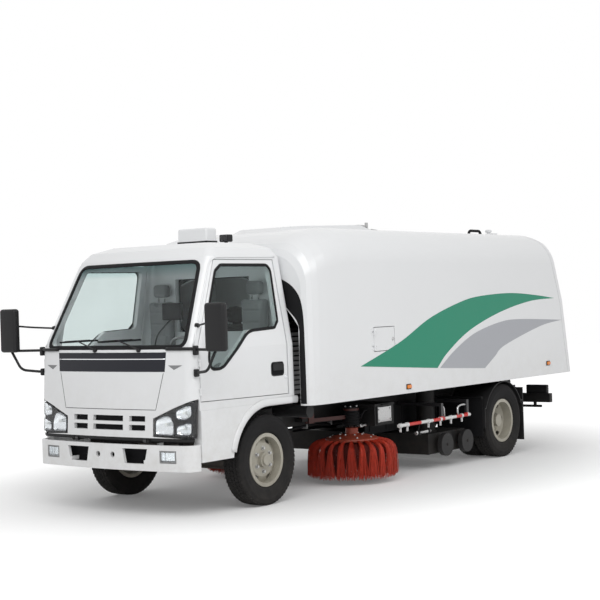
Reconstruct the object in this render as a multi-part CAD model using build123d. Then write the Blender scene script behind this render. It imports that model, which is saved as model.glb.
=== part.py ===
from build123d import *
from math import hypot
import os

os.makedirs("parts", exist_ok=True)

# Millimetres. X forward, Y to the vehicle's left, Z up, ground at Z = 0.

# Overall sizes
overall_length = 6370
front_overhang = 1040
wheelbase = 3815
body_width = 2060
front_axle_x = overall_length / 2 - front_overhang
rear_axle_x = front_axle_x - wheelbase
tail_x = -overall_length / 2

# Clearances
seat_gap = 0.3
seal_gap = 0.4
pin_gap = 0.3
panel_gap = 6
door_rear_gap = 16

# Wheels and tyres
tyre_radius = 380
tyre_width = 190
axle_height = 380
rim_seat_radius = 203
rim_flange_radius = 224
rim_half_width = 74
rim_thickness = 9
front_track_half = 775
rear_outer_half = 905
twin_spacing = 235
rear_inner_half = rear_outer_half - twin_spacing
spindle_radius = 30
hand_hole_count = 6

# Steering
kingpin_y = 640
kingpin_radius = 18
knuckle_radius = 42
steer_arm = 165
tie_rod_drop = 78

# Ladder frame
rail_half_width = 425
rail_height = 190
rail_flange = 60
rail_wall = 8
rail_bottom = 560
rail_top = rail_bottom + rail_height
rail_front_x = front_axle_x + 430
horn_front_x = front_axle_x + 800
horn_top = 634
rail_rear_x = front_axle_x - 4950
rail_inner = rail_half_width - rail_flange
spring_y = rail_half_width - rail_flange / 2
spring_width = 44

# Cab
cab_bottom = 645
cab_floor = 860
cab_floor_thickness = 50
cab_wall = 50
cab_belt = 1335
cab_eaves = 2090
cab_roof = 2210
cab_half_width = 880
cab_roof_half_width = 750
cab_rear_x = front_axle_x - 410
footwell_rear_x = front_axle_x + 470
footwell_half_width = 797
front_panel_depth = 40
front_panel_rear_x = front_axle_x + 856
tilt_x = front_axle_x + 965
door_hinge_x = front_axle_x + 845
door_hinge_y = cab_half_width + 5
door_hinge_heights = (1010, 1235)
door_pin_radius = 5
screen_corner = 60
window_corner = 40
door_knuckle_radius = 10
tilt_z = 618
tilt_pin_radius = 10
tilt_eye_radius = 18

# Bumper
bumper_bottom = 385
bumper_top = 592
bumper_wall = 25
bumper_half_width = 875

# Sweeper body
body_half_width = body_width / 2
body_front_x = front_axle_x - 430
body_bottom = 800
body_roof = 2350
body_wall = 40
body_corner = 320
# Columns: distance behind the front, how much narrower, how much lower
nose_rows = (
    (0, 95, 240),
    (20, 50, 190),
    (60, 20, 140),
    (130, 5, 100),
    (250, 0, 55),
    (400, 0, 22),
    (560, 0, 0),
    (overall_length, 0, 0),
)
bulkhead_x = front_axle_x - 1620
floor_bottom = 850
floor_thickness = 40
tail_thickness = 60
tail_split = tail_thickness + panel_gap
hopper_pivot_x = front_axle_x - 5010
hopper_pivot_z = 700
hopper_pin_radius = 20
tail_hinge_z = body_roof + 20
hatch_front_x = front_axle_x - 1385
hatch_length = 350
hatch_low = 1215
hatch_high = 1440
hatch_pin_x = hatch_front_x - 3
hatch_pin_y = body_half_width + 10
hatch_pin_radius = 5
hatch_knuckle_radius = 9
hatch_hinge_heights = (hatch_low + 45, hatch_high - 45)

# Side brushes
brush_x = front_axle_x - 1580
brush_y = 615
brush_radius = 415
brush_tip_z = 65
brush_plate_z = 410
brush_plate_radius = 250
tuft_count = 24
brush_pivot_x = front_axle_x - 1000
brush_pivot_y = 480
brush_lift_x = front_axle_x - 1090

# Suction nozzle
nozzle_x = front_axle_x - 2880
nozzle_length = 700
nozzle_half_width = 860
nozzle_bottom = 150
nozzle_top = 350
nozzle_wall = 20
nozzle_wheel_radius = 112
nozzle_wheel_z = 236
nozzle_wheel_y = 930
nozzle_wheel_width = 50
nozzle_wheel_xs = (front_axle_x - 2738, front_axle_x - 3131)
duct_y = 620
duct_radius = 92
duct_top = 770


def ahead(distance):
    return front_axle_x + distance


def block(x0, x1, y0, y1, z0, z1):
    return Pos((x0 + x1) / 2, (y0 + y1) / 2, (z0 + z1) / 2) * Box(
        abs(x1 - x0), abs(y1 - y0), abs(z1 - z0)
    )


def rod_x(y, z, radius, x0, x1):
    return Pos((x0 + x1) / 2, y, z) * Rot(0, 90, 0) * Cylinder(radius, abs(x1 - x0))


def rod_y(x, z, radius, y0, y1):
    return Pos(x, (y0 + y1) / 2, z) * Rot(90, 0, 0) * Cylinder(radius, abs(y1 - y0))


def rod_z(x, y, radius, z0, z1):
    return Pos(x, y, (z0 + z1) / 2) * Cylinder(radius, abs(z1 - z0))


def rod_between(a, b, radius):
    path = Vector(*b) - Vector(*a)
    return extrude(Plane(origin=a, z_dir=path) * Circle(radius), path.length)


def side_prism(points, y0, y1, corner=0):
    face = make_face(Polyline(*points, close=True))
    if corner > 0:
        face = fillet(face.vertices(), corner)
    return extrude(Plane(origin=(0, y1, 0), x_dir=(1, 0, 0), z_dir=(0, -1, 0)) * face, y1 - y0)


def front_prism(points, x0, x1, corner=0):
    face = make_face(Polyline(*points, close=True))
    if corner > 0:
        face = fillet(face.vertices(), corner)
    return extrude(Plane(origin=(x0, 0, 0), x_dir=(0, 1, 0), z_dir=(1, 0, 0)) * face, x1 - x0)


def plan_prism(points, z0, z1):
    return extrude(Pos(0, 0, z0) * make_face(Polyline(*points, close=True)), z1 - z0)


def other_side(shape):
    return mirror(shape, Plane.XZ)


def both_sides(shape):
    return [shape, other_side(shape)]


def write(name, shapes):
    if not isinstance(shapes, list):
        shapes = [shapes]
    solids = []
    for shape in shapes:
        solids.extend(shape.solids())
    solid = solids[0] if len(solids) == 1 else Compound(children=solids)
    solid.label = name
    export_step(solid, f"parts/{name}.step")


# Wheels. A profile is (radius, offset outward from the wheel's centre plane).
def turned(profile, x, y, z, side):
    points = [(r, offset) for r, offset in profile]
    face = make_face(Polyline(*points, close=True))
    plane = Plane(origin=(0, 0, 0), x_dir=(1, 0, 0), z_dir=(0, 0, 1))
    solid = revolve(plane * face, Axis.Y)
    if side < 0:
        solid = mirror(solid, Plane.XZ)
    return Pos(x, y, z) * solid


def tyre(x, y, side):
    seat = rim_seat_radius + seat_gap
    half = tyre_width / 2
    bead = rim_half_width - 14
    profile = [
        (seat, -bead),
        (rim_flange_radius + 6, -bead),
        (rim_flange_radius + 40, -half),
        (tyre_radius - 48, -half),
        (tyre_radius - 8, -half + 24),
        (tyre_radius, -half + 52),
        (tyre_radius, half - 52),
        (tyre_radius - 8, half - 24),
        (tyre_radius - 48, half),
        (rim_flange_radius + 40, half),
        (rim_flange_radius + 6, bead),
        (seat, bead),
    ]
    return turned(profile, x, y, axle_height, side)


def rim(x, y, side, face, dish, bore):
    inner = rim_seat_radius - rim_thickness
    edge = rim_half_width
    lip = 12
    profile = [
        (inner, -edge),
        (rim_flange_radius, -edge),
        (rim_flange_radius, -edge + lip),
        (rim_seat_radius, -edge + lip),
        (rim_seat_radius, edge - lip),
        (rim_flange_radius, edge - lip),
        (rim_flange_radius, edge),
        (inner, edge),
        (inner, dish + rim_thickness),
        (138, face + rim_thickness),
        (bore, face + rim_thickness),
        (bore, face),
        (132, face),
        (inner, dish),
    ]
    wheel = turned(profile, x, y, axle_height, side)
    reach = side * (face + dish) / 2
    for number in range(hand_hole_count):
        turn = number * 360 / hand_hole_count
        slot = Rot(0, turn, 0) * Pos(165, 0, 0) * Rot(90, 0, 0) * SlotOverall(58, 34, rotation=90)
        wheel -= Pos(x, y + reach, axle_height) * extrude(slot, 60, both=True)
    return wheel


def front_wheel(side):
    y = side * front_track_half
    wheel = rim(ahead(0), y, side, 24, -6, spindle_radius + pin_gap)
    cap = rod_y(ahead(0), axle_height, 62, y + side * 33, y + side * 62)
    cap += rod_y(ahead(0), axle_height, 44, y + side * 62, y + side * 78)
    return wheel + cap


def rear_wheels(side):
    outer = side * rear_outer_half
    inner = side * rear_inner_half
    outside = rim(rear_axle_x, outer, side, -64, -30, spindle_radius + 20)
    inside = rim(rear_axle_x, inner, -side, -64, -30, spindle_radius + 20)
    meet = side * (rear_outer_half - 64)
    away = side * (rear_inner_half + 64)
    hub = rod_y(rear_axle_x, axle_height, 112, away - side * 4, meet + side * 4)
    hub += rod_y(rear_axle_x, axle_height, 62, meet, outer + side * 30)
    hub -= rod_y(rear_axle_x, axle_height, spindle_radius + pin_gap, inner, outer + side * 10)
    return outside + inside + hub


write("front_left_wheel", front_wheel(1))
write("front_right_wheel", front_wheel(-1))
write("front_left_tyre", tyre(ahead(0), front_track_half, 1))
write("front_right_tyre", tyre(ahead(0), -front_track_half, -1))
for side, word in ((1, "left"), (-1, "right")):
    write(f"rear_{word}_wheels", rear_wheels(side))
    pair = [tyre(rear_axle_x, side * rear_outer_half, side), tyre(rear_axle_x, side * rear_inner_half, side)]
    write(f"rear_{word}_tyres", pair)

# Front axle, knuckles and tie rod
beam_end = kingpin_y - knuckle_radius
beam_low = axle_height - 60
beam = front_prism(
    [
        (-kingpin_y, axle_height - 32),
        (-kingpin_y, axle_height + 32),
        (-520, axle_height + 26),
        (-440, beam_low + 36),
        (440, beam_low + 36),
        (520, axle_height + 26),
        (kingpin_y, axle_height + 32),
        (kingpin_y, axle_height - 32),
        (500, axle_height - 26),
        (420, beam_low - 36),
        (-420, beam_low - 36),
        (-500, axle_height - 26),
    ],
    ahead(-34),
    ahead(34),
)
for side in (1, -1):
    beam += rod_z(ahead(0), side * kingpin_y, knuckle_radius, axle_height - 36, axle_height + 36)
for side in (1, -1):
    beam -= rod_z(ahead(0), side * kingpin_y, kingpin_radius + pin_gap, 0, 800)
    for face in (1, -1):
        beam -= block(ahead(face * 18), ahead(face * 60), -400, 400, beam_low - 20, beam_low + 20)
write("front_axle_beam", beam)


def knuckle(side):
    y = side * kingpin_y
    gap = 37
    body = rod_z(ahead(0), y, knuckle_radius, axle_height + gap, axle_height + 72)
    body += rod_z(ahead(0), y, knuckle_radius, axle_height - 72, axle_height - gap)
    body += rod_z(ahead(0), y, kingpin_radius, axle_height - 72, axle_height + 72)
    wall = y + side * (knuckle_radius + 4)
    yoke = block(ahead(-40), ahead(40), y, wall + side * 20, axle_height - 72, axle_height + 72)
    yoke -= rod_z(ahead(0), y, knuckle_radius + 5, axle_height - gap, axle_height + gap)
    yoke -= block(ahead(-60), ahead(60), y, y + side * 8, axle_height - gap, axle_height + gap)
    body += yoke
    body += rod_y(ahead(0), axle_height, spindle_radius, wall, side * (front_track_half + 30))
    body += rod_y(ahead(0), axle_height, 150, wall + side * 18, wall + side * 30)
    low = axle_height - 72
    body += block(ahead(-steer_arm), ahead(-30), y - 18, y + 18, low, low + 26)
    body += rod_z(ahead(-steer_arm), y, 22, low, low + 26)
    body += rod_z(ahead(-steer_arm), y, 10, axle_height - tie_rod_drop - 40, low)
    return body


write("left_knuckle", knuckle(1))
write("right_knuckle", knuckle(-1))
rod_height = axle_height - tie_rod_drop - 20
tie_rod = rod_y(ahead(-steer_arm), rod_height, 15, -kingpin_y, kingpin_y)
for side in (1, -1):
    tie_rod += rod_z(ahead(-steer_arm), side * kingpin_y, 24, rod_height - 18, rod_height + 18)
for side in (1, -1):
    tie_rod -= rod_z(ahead(-steer_arm), side * kingpin_y, 10 + pin_gap, 0, 600)
write("tie_rod", tie_rod)

# Rear axle with differential and spindles for the twin wheels
diff = Pos(rear_axle_x, 0, axle_height) * Sphere(165)
diff = diff & block(rear_axle_x - 150, rear_axle_x + 120, -150, 150, 0, 900)
axle = diff + rod_y(rear_axle_x, axle_height, 62, -rear_inner_half + 80, rear_inner_half - 80)
axle += rod_y(rear_axle_x, axle_height, spindle_radius, -rear_outer_half, rear_outer_half)
axle += rod_x(0, axle_height + 10, 45, rear_axle_x + 60, rear_axle_x + 230)
rear_pad = axle_height + 76
for side in (1, -1):
    axle += block(
        rear_axle_x - 70, rear_axle_x + 70, side * (spring_y - 36), side * (spring_y + 36), axle_height, rear_pad
    )
write("rear_axle", axle)


# Leaf springs: columns are length share and leaf number from the top
def spring(x, span, seat, camber):
    leaf = 11
    chord = span / 2
    radius = (chord * chord + camber * camber) / (2 * camber)
    low = seat + 24
    centre = low + radius
    spring_y0 = spring_y - spring_width / 2
    spring_y1 = spring_y + spring_width / 2
    pack = None
    for level, share in ((2, 1.0), (1, 0.72), (0, 0.46)):
        inner = radius - level * leaf
        half = chord * share
        ring = rod_y(x, centre, inner, spring_y0, spring_y1)
        ring -= rod_y(x, centre, inner - leaf, spring_y0 - 1, spring_y1 + 1)
        strip = ring & block(x - half, x + half, spring_y0, spring_y1, low - 1, low + camber + 60)
        pack = strip if pack is None else pack + strip
    top = low + 3 * leaf
    pack += block(x - 62, x + 62, spring_y - 40, spring_y + 40, seat, top + 14)
    tip = centre - ((radius - 2.5 * leaf) ** 2 - chord * chord) ** 0.5
    for end in (1, -1):
        pack += rod_y(x + end * chord, tip, 24, spring_y0, spring_y1)
    for end in (1, -1):
        pack -= rod_y(x + end * chord, tip, 12 + pin_gap, 0, 600)
    return pack, tip


front_spring, front_eye = spring(ahead(0), 1040, beam_low + 36, 62)
rear_spring, rear_eye = spring(rear_axle_x, 1180, rear_pad, 16)
write("leaf_springs", both_sides(front_spring) + both_sides(rear_spring))

# Ladder frame
rail = block(rail_rear_x, rail_front_x, rail_inner, rail_half_width, rail_bottom, rail_top)
rail -= block(
    rail_rear_x - 1, rail_front_x + 1, rail_inner - 1, rail_half_width - rail_wall,
    rail_bottom + rail_wall, rail_top - rail_wall,
)
rail += block(rail_front_x - 120, horn_front_x, rail_inner, rail_half_width, rail_bottom, horn_top)
for x, half, eye in ((ahead(0), 520, front_eye), (rear_axle_x, 590, rear_eye)):
    for end in (1, -1):
        for edge in (-1, 1):
            face = spring_y + edge * (spring_width / 2 + 1)
            rail += block(x + end * half - 34, x + end * half + 34, face, face + edge * 9, eye - 26, rail_bottom + 20)
        rail += rod_y(x + end * half, eye, 12, spring_y - 40, spring_y + 40)
tilt_ear = block(ahead(760), tilt_x, rail_half_width - 12, rail_half_width + 12, 600, tilt_z + tilt_eye_radius)
tilt_ear += rod_y(tilt_x, tilt_z, tilt_eye_radius, rail_half_width - 12, rail_half_width + 12)
tilt_ear += rod_y(tilt_x, tilt_z, tilt_pin_radius, rail_half_width - 60, rail_half_width + 12)
rail += tilt_ear
lug = block(hopper_pivot_x, rail_rear_x + 90, rail_inner, rail_half_width - 2, hopper_pivot_z - 28, hopper_pivot_z + 28)
lug += rod_y(hopper_pivot_x, hopper_pivot_z, 28, rail_inner, rail_half_width - 2)
lug += rod_y(hopper_pivot_x, hopper_pivot_z, hopper_pin_radius, rail_inner - 60, rail_inner + 25)
rail += lug
arm_post = block(
    brush_pivot_x - 45, brush_pivot_x + 45, rail_half_width - 2, brush_pivot_y + 30, rail_bottom + 40, rail_bottom + 70
)
arm_post += block(
    brush_pivot_x - 45, brush_pivot_x + 45, rail_half_width - 2, brush_pivot_y + 30, rail_bottom + 130, rail_bottom + 160
)
arm_post += rod_z(brush_pivot_x, brush_pivot_y, 14, rail_bottom + 40, rail_bottom + 160)
rail += arm_post
write("frame_rails", both_sides(rail))
crossmembers = []
crossmembers.append(block(ahead(640), ahead(720), -rail_inner, rail_inner, rail_bottom + 6, horn_top - 6))
for x in (ahead(-1150), ahead(-2350), ahead(-3130), ahead(-4480)):
    crossmembers.append(
        block(x - 45, x + 45, rail_wall - rail_half_width, rail_half_width - rail_wall, rail_bottom + 80, rail_top - rail_wall)
    )
guide_x = nozzle_x
guide = block(
    guide_x - 40, guide_x + 40, rail_wall - rail_half_width, rail_half_width - rail_wall, rail_bottom + 80, rail_top - rail_wall
)
for side in (1, -1):
    guide += rod_z(guide_x, side * 300, 16, 270, rail_bottom + 90)
crossmembers.append(guide)
write("frame_crossmembers", crossmembers)

# Engine with gearbox, and the shaft to the rear axle
engine = block(ahead(-560), ahead(400), -240, 240, 430, 820)
engine += block(ahead(-560), ahead(220), -280, 280, 700, 1000)
engine += block(ahead(-1000), ahead(-560), -170, 170, 470, 730)
for side in (1, -1):
    engine += block(ahead(-60), ahead(60), side * 230, side * rail_inner, rail_bottom + 20, rail_bottom + 90)
write("engine_block", engine)
shaft_start = (ahead(-1000) - 1, 0, 600)
shaft_end = (rear_axle_x + 231, 0, axle_height + 10)
shaft = rod_between(shaft_start, shaft_end, 38)
shaft -= block(ahead(-1000), ahead(-900), -100, 100, 400, 800)
shaft -= block(rear_axle_x, rear_axle_x + 230, -100, 100, 200, 600)
write("drive_shaft", shaft)


# Cab form: each row is height, half width, front at centre, front at corner, rear, front corner radius
def cab_form(inset, foot=None):
    rows = (
        (cab_bottom + inset if foot is None else foot, cab_half_width, 1005, 945, 0, 110),
        (cab_belt, cab_half_width - 4, 965, 905, 0, 110),
        (cab_eaves - inset * 0.4, cab_roof_half_width, 585, 535, 10, 70),
        (cab_eaves + 72 - inset, cab_roof_half_width - 50, 510, 465, 50, 70),
        (cab_roof - inset, cab_roof_half_width - 190, 370, 340, 150, 70),
    )
    sections = []
    for height, half, centre, corner, rear, radius in rows:
        w = half - inset
        front = ahead(corner - inset)
        back = cab_rear_x + rear + inset
        edges = [
            Line((back, -w), (front, -w)),
            ThreePointArc((front, -w), (ahead(centre - inset), 0), (front, w)),
            Line((front, w), (back, w)),
            Line((back, w), (back, -w)),
        ]
        face = make_face(edges)
        face = fillet(face.vertices().filter_by_position(Axis.X, front - 1, front + 1), radius - inset * 0.8)
        face = fillet(face.vertices().filter_by_position(Axis.X, back - 1, back + 1), 60 - inset * 0.6)
        sections.append(Pos(0, 0, height) * face)
    return loft(sections, ruled=True)


def cab_zone(form, floor, wall_x, half):
    upper = form & block(ahead(-700), ahead(1200), -1000, 1000, floor, 2400)
    lower = form & block(wall_x, ahead(1200), -half, half, 500, floor + 1)
    return upper + lower


def door_outline(gap, rear_gap):
    return [
        (ahead(845) - gap, 925 + gap),
        (ahead(845) - gap, 1360),
        (ahead(500) - gap, 2062 - gap),
        (ahead(-285) + rear_gap, 2062 - gap),
        (ahead(-300) + rear_gap, 1400),
        (ahead(-300) + rear_gap, 912 + gap),
    ]


def window_outline(gap):
    return [
        (ahead(722) - gap, 1245),
        (ahead(690) - gap, 1560),
        (ahead(470) - gap, 2008 - gap),
        (ahead(-222) + gap, 2008 - gap),
        (ahead(-205) + gap, 1490 + gap),
        (ahead(198) + gap, 1473 + gap),
        (ahead(565) + gap, 1183 + gap),
        (ahead(690) - gap, 1183 + gap),
    ]


def screen_outline(gap):
    return [
        (-770 + gap, 1372 + gap),
        (770 - gap, 1372 + gap),
        (668 - gap, 2040 - gap),
        (-668 + gap, 2040 - gap),
    ]


rear_window = (-430, 430, 1450, 1930)
outer_form = cab_form(0)
inner_form = cab_form(cab_wall)
panel_form = cab_form(front_panel_depth, cab_bottom - 20)
cab = cab_zone(outer_form, cab_floor, footwell_rear_x, footwell_half_width)
cavity_floor = cab_floor + cab_floor_thickness
cab -= cab_zone(inner_form, cavity_floor, footwell_rear_x + 50, footwell_half_width - 40)
cab += block(cab_rear_x + 40, ahead(300), -360, 360, cavity_floor - 1, 1100)
cab -= block(cab_rear_x - 20, ahead(270), -330, 330, cab_floor - 10, 1070)
for side in (1, -1):
    base = block(ahead(-340), ahead(180), side * 355, side * 770, cavity_floor - 1, 1060)
    cab += base
cab -= front_prism(screen_outline(0), ahead(200), ahead(1200), screen_corner)
cab -= block(cab_rear_x - 20, cab_rear_x + 120, rear_window[0], rear_window[1], rear_window[2], rear_window[3])
for side in (1, -1):
    low, high = (500, 1000) if side > 0 else (-1000, -500)
    cab -= side_prism(door_outline(0, 0), low, high)
front_zone = block(front_panel_rear_x, ahead(1200), -1000, 1000, cab_bottom - 10, cab_belt)
skin = outer_form - panel_form
skin = skin & front_zone
backing_form = cab_form(front_panel_depth + seat_gap, cab_bottom - 20)
cab -= block(front_panel_rear_x - seat_gap, ahead(1200), -1000, 1000, cab_bottom - 10, cab_belt + seat_gap) - backing_form
for side in (1, -1):
    eye = rod_y(tilt_x, tilt_z, tilt_eye_radius, side * 372, side * 405)
    eye += block(tilt_x - 95, tilt_x, side * 372, side * 405, tilt_z - 14, tilt_z + 16)
    eye += block(tilt_x - 95, tilt_x - 30, side * 372, side * 405, tilt_z, cab_bottom + 20)
    cab += eye
    cab -= rod_y(tilt_x, tilt_z, tilt_pin_radius + pin_gap, side * 360, side * 412)
    hinge_y = side * door_hinge_y
    for height in door_hinge_heights:
        cab -= rod_z(door_hinge_x, hinge_y, door_knuckle_radius + 2, height - 10.5, height + 10.5)
        cab += rod_z(door_hinge_x, hinge_y, door_pin_radius, height - 30, height + 30)
        for end in (-1, 1):
            z0 = height + end * 11
            z1 = height + end * 30
            cab += rod_z(door_hinge_x, hinge_y, door_knuckle_radius, z0, z1)
            cab += block(door_hinge_x, door_hinge_x + 10, side * 860, hinge_y, z0, z1)
write("cab_shell", cab)

# Front panel with grille slots; the band and the headlamps fill openings in it
lamp_outline = [(485, 655), (485, 800), (690, 885), (900, 962), (900, 640)]
band_outline = [(-690, 1170), (-745, 1322), (745, 1322), (690, 1170)]
lamp_left = front_prism(lamp_outline, front_panel_rear_x, ahead(1200))
band_prism = front_prism(band_outline, front_panel_rear_x, ahead(1200))
panel = skin - lamp_left - other_side(lamp_left) - band_prism
for low in (700, 772):
    for y0, y1 in ((-405, -235), (-170, 170), (235, 405)):
        panel -= block(ahead(800), ahead(1200), y0, y1, low, low + 46)
write("front_panel", panel)
inner_lamp = [(485 + 2, 657), (485 + 2, 798), (690, 883), (900, 960), (900, 642)]
lamp = skin & front_prism(inner_lamp, front_panel_rear_x + 2, ahead(1200))
write("headlamps", both_sides(lamp))
inner_band = [(-690 + 1, 1171), (-745 + 1, 1321), (745 - 1, 1321), (690 - 1, 1171)]
write("front_band", skin & front_prism(inner_band, front_panel_rear_x, ahead(1200)))

# Glass
pane = cab_form(8) - cab_form(15)
windscreen = pane & front_prism(screen_outline(seal_gap), ahead(200), ahead(1200), screen_corner)
back_pane = pane & block(
    cab_rear_x - 20, cab_rear_x + 120, rear_window[0] + seal_gap, rear_window[1] - seal_gap,
    rear_window[2] + seal_gap, rear_window[3] - seal_gap,
)
write("cab_glass", [windscreen, back_pane])

# Doors
wall_band = outer_form - inner_form
door = wall_band & side_prism(door_outline(panel_gap, door_rear_gap), 500, 1000)
door -= side_prism(window_outline(0), 500, 1000, window_corner)
for height in door_hinge_heights:
    door -= rod_z(door_hinge_x, door_hinge_y, door_knuckle_radius + 5, height - 36, height + 36)
    door += rod_z(door_hinge_x, door_hinge_y, door_knuckle_radius, height - 10, height + 10)
    door += block(door_hinge_x - 45, door_hinge_x - panel_gap, 862, door_hinge_y, height - 10, height + 10)
    door += block(door_hinge_x - panel_gap - 1, door_hinge_x, 877, door_hinge_y, height - 10, height + 10)
    door -= rod_z(door_hinge_x, door_hinge_y, door_pin_radius + pin_gap, height - 40, height + 40)
write("left_door", door)
write("right_door", other_side(door))
door_glass = pane & side_prism(window_outline(seal_gap), 500, 1000, window_corner)
write("left_door_glass", door_glass)
write("right_door_glass", other_side(door_glass))


# Side skirts below the doors with the wheel arch
def skirt(side):
    arch = 470
    plate = block(ahead(-400), ahead(850), 800, 884, 450, cab_floor - seat_gap)
    plate -= rod_y(ahead(0), axle_height, arch, 700, 1000)
    plate -= block(ahead(-500), ahead(0), 700, 1000, 300, 845)
    plate += block(ahead(473), ahead(850), 735, 800, 450, 490)
    return plate if side > 0 else other_side(plate)


write("side_skirts", [skirt(1), skirt(-1)])

# Mirrors, roof sign, seats, dashboard and steering wheel
mirror_head = block(ahead(940), ahead(1015), 1075, 1275, 1330, 1710)
mirror_arm = rod_between((ahead(870), 860, 1345), (ahead(975), 1170, 1345), 12)
mirror_arm += rod_between((ahead(880), 860, 1160), (ahead(960), 1060, 1180), 12)
mirror_arm += rod_between((ahead(960), 1060, 1180), (ahead(975), 1170, 1345), 12)
mirror_arm += block(ahead(858), ahead(905), 850, 892, 1130, 1190)
mirror_arm += block(ahead(858), ahead(905), 840, 892, 1300, 1375)
mirror_unit = (mirror_head + mirror_arm) - cab_form(-seat_gap)
write("mirrors", both_sides(mirror_unit))
sign = block(ahead(-250), ahead(-110), -170, 170, cab_roof + 20, cab_roof + 155)
for y in (-140, 140):
    sign += block(ahead(-210), ahead(-150), y - 20, y + 20, cab_roof, cab_roof + 21)
write("roof_sign", sign)
seats = []
for side in (1, -1):
    seat = block(ahead(-330), ahead(190), side * 365, side * 765, 1060, 1200)
    seat += block(ahead(-345), ahead(-215), side * 385, side * 700, 1150, 1760)
    seat += block(ahead(-340), ahead(-240), side * 450, side * 640, 1750, 1900)
    seats.append(seat)
write("seats", seats)
column = rod_between((ahead(430), 420, 1275), (ahead(640), 420, 1130), 32)
dash = side_prism(
    [(ahead(560), 1040), (ahead(600), 1300), (ahead(700), 1352), (ahead(960), 1352), (ahead(960), 1040)], -785, 785
)
dash = dash & cab_form(cab_wall + seat_gap)
dash -= rod_between((ahead(430), 420, 1275), (ahead(800), 420, 1019.5), 33)
write("dashboard", dash)
wheel_plane = Plane(origin=(ahead(430), 420, 1275), z_dir=(-210, 0, 145))
steering = wheel_plane * extrude(Circle(203) - Circle(177), 13, both=True)
steering += wheel_plane * Pos(0, 0, -10) * Box(30, 380, 14)
steering += wheel_plane * Cylinder(45, 36)
steering += column - block(ahead(640), ahead(800), 300, 540, 900, 1400)
write("steering_wheel", steering)


# Bumper on the frame
def bumper_form(inset, z0, z1):
    w = bumper_half_width - inset
    edges = [
        Line((ahead(850), -w), (ahead(965 - inset), -w)),
        ThreePointArc((ahead(965 - inset), -w), (ahead(front_overhang - inset), 0), (ahead(965 - inset), w)),
        Line((ahead(965 - inset), w), (ahead(850), w)),
        Line((ahead(850), w), (ahead(850), -w)),
    ]
    face = make_face(edges)
    corners = face.vertices().filter_by_position(Axis.X, ahead(960 - inset), ahead(970 - inset))
    face = fillet(corners, 110 - inset)
    return extrude(Pos(0, 0, z0) * face, z1 - z0)


bumper = bumper_form(0, bumper_bottom, bumper_top) - bumper_form(bumper_wall, 300, 700)
bumper -= block(ahead(800), ahead(858), -1000, 1000, 300, 700)
lamp_boxes = []
for side in (1, -1):
    hole = [(side * 190, 560), (side * 450, 560), (side * 420, 440), (side * 215, 440)]
    bumper -= front_prism(hole, ahead(800), ahead(1200))
    bumper -= block(ahead(800), ahead(1200), side * 570, side * 730, 450, 550)
    bumper -= rod_x(side * 82, 505, 24, ahead(800), ahead(1200))
    bumper += block(
        horn_front_x, ahead(1020), side * (rail_inner + 45), side * rail_half_width, 440, 470
    ) & bumper_form(3, 300, 700)
    bumper += block(horn_front_x, horn_front_x + 60, side * (rail_inner + 45), side * rail_half_width, 440, 590)
    pod = block(ahead(945), ahead(1200), side * (570 + seal_gap), side * (730 - seal_gap), 450 + seal_gap, 550 - seal_gap)
    lamp_boxes.append(pod & bumper_form(4, 300, 700))
write("front_bumper", bumper)
write("fog_lamps", lamp_boxes)


# Sweeper body: cross-section, side profile and plan outline give the form
def tail_line(shift):
    return [
        (tail_x + shift, 810),
        (tail_x + 150 + shift, 1610),
        (tail_x + 400 + shift, 2250),
        (tail_x + 560 + shift, body_roof),
    ]


def body_form(inset, tail_shift):
    top = body_roof - inset
    bottom = body_bottom if inset == 0 else body_bottom - 50
    r = body_corner - inset
    k = r * (1 - 0.5 ** 0.5)
    front = body_front_x - inset
    sections = []
    for back, narrow, drop in nose_rows:
        w = body_half_width - inset - narrow
        high = top - drop
        section = [
            Line((-w, bottom), (w, bottom)),
            Line((w, bottom), (w, high - r)),
            ThreePointArc((w, high - r), (w - k, high - k), (w - r, high)),
            Line((w - r, high), (-w + r, high)),
            ThreePointArc((-w + r, high), (-w + k, high - k), (-w, high - r)),
            Line((-w, high - r), (-w, bottom)),
        ]
        plane = Plane(origin=(front - back, 0, 0), x_dir=(0, 1, 0), z_dir=(1, 0, 0))
        sections.append(plane * make_face(section))
    form = loft(sections, ruled=True)
    low, belt, rise, crown = tail_line(tail_shift)
    outline = [(front + 100, bottom), (front + 100, top), (crown[0], top), rise, belt, low, (low[0], bottom)]
    return form & side_prism(outline, -1200, 1200)


whole = body_form(0, 0)
hollow = body_form(body_wall, -400)
shell = body_form(0, tail_split)
shell -= hollow & block(bulkhead_x + body_wall, ahead(0), -1200, 1200, 0, 2600)
shell -= hollow & block(tail_x - 300, bulkhead_x, -1200, 1200, 0, 2600)
arch = block(body_front_x - 250, body_front_x + 50, -900, 900, body_bottom - 10, 1480)
arch_top = [Line((-900, 1470), (900, 1470)), Line((900, 1470), (900, 1480))]
arch_top += [ThreePointArc((900, 1480), (0, 1960), (-900, 1480)), Line((-900, 1480), (-900, 1470))]
arch_plane = Plane(origin=(body_front_x - 250, 0, 0), x_dir=(0, 1, 0), z_dir=(1, 0, 0))
arch += extrude(arch_plane * make_face(arch_top), 300)
shell -= arch
hatch_rear_x = hatch_front_x - hatch_length
shell -= block(hatch_rear_x, hatch_front_x, body_half_width - 100, body_half_width + 100, hatch_low, hatch_high)
for height in hatch_hinge_heights:
    shell += rod_z(hatch_pin_x, hatch_pin_y, hatch_pin_radius, height - 24, height + 24)
    for end in (-1, 1):
        z0 = height + end * 11
        z1 = height + end * 24
        shell += rod_z(hatch_pin_x, hatch_pin_y, hatch_knuckle_radius, z0, z1)
        shell += block(hatch_pin_x, hatch_front_x + 36, body_half_width - 1, body_half_width + 6, z0, z1) - block(
            hatch_rear_x, hatch_front_x, body_half_width - 100, body_half_width, hatch_low, hatch_high
        )
hinge_x = tail_x + 560 + tail_split + 4
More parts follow.
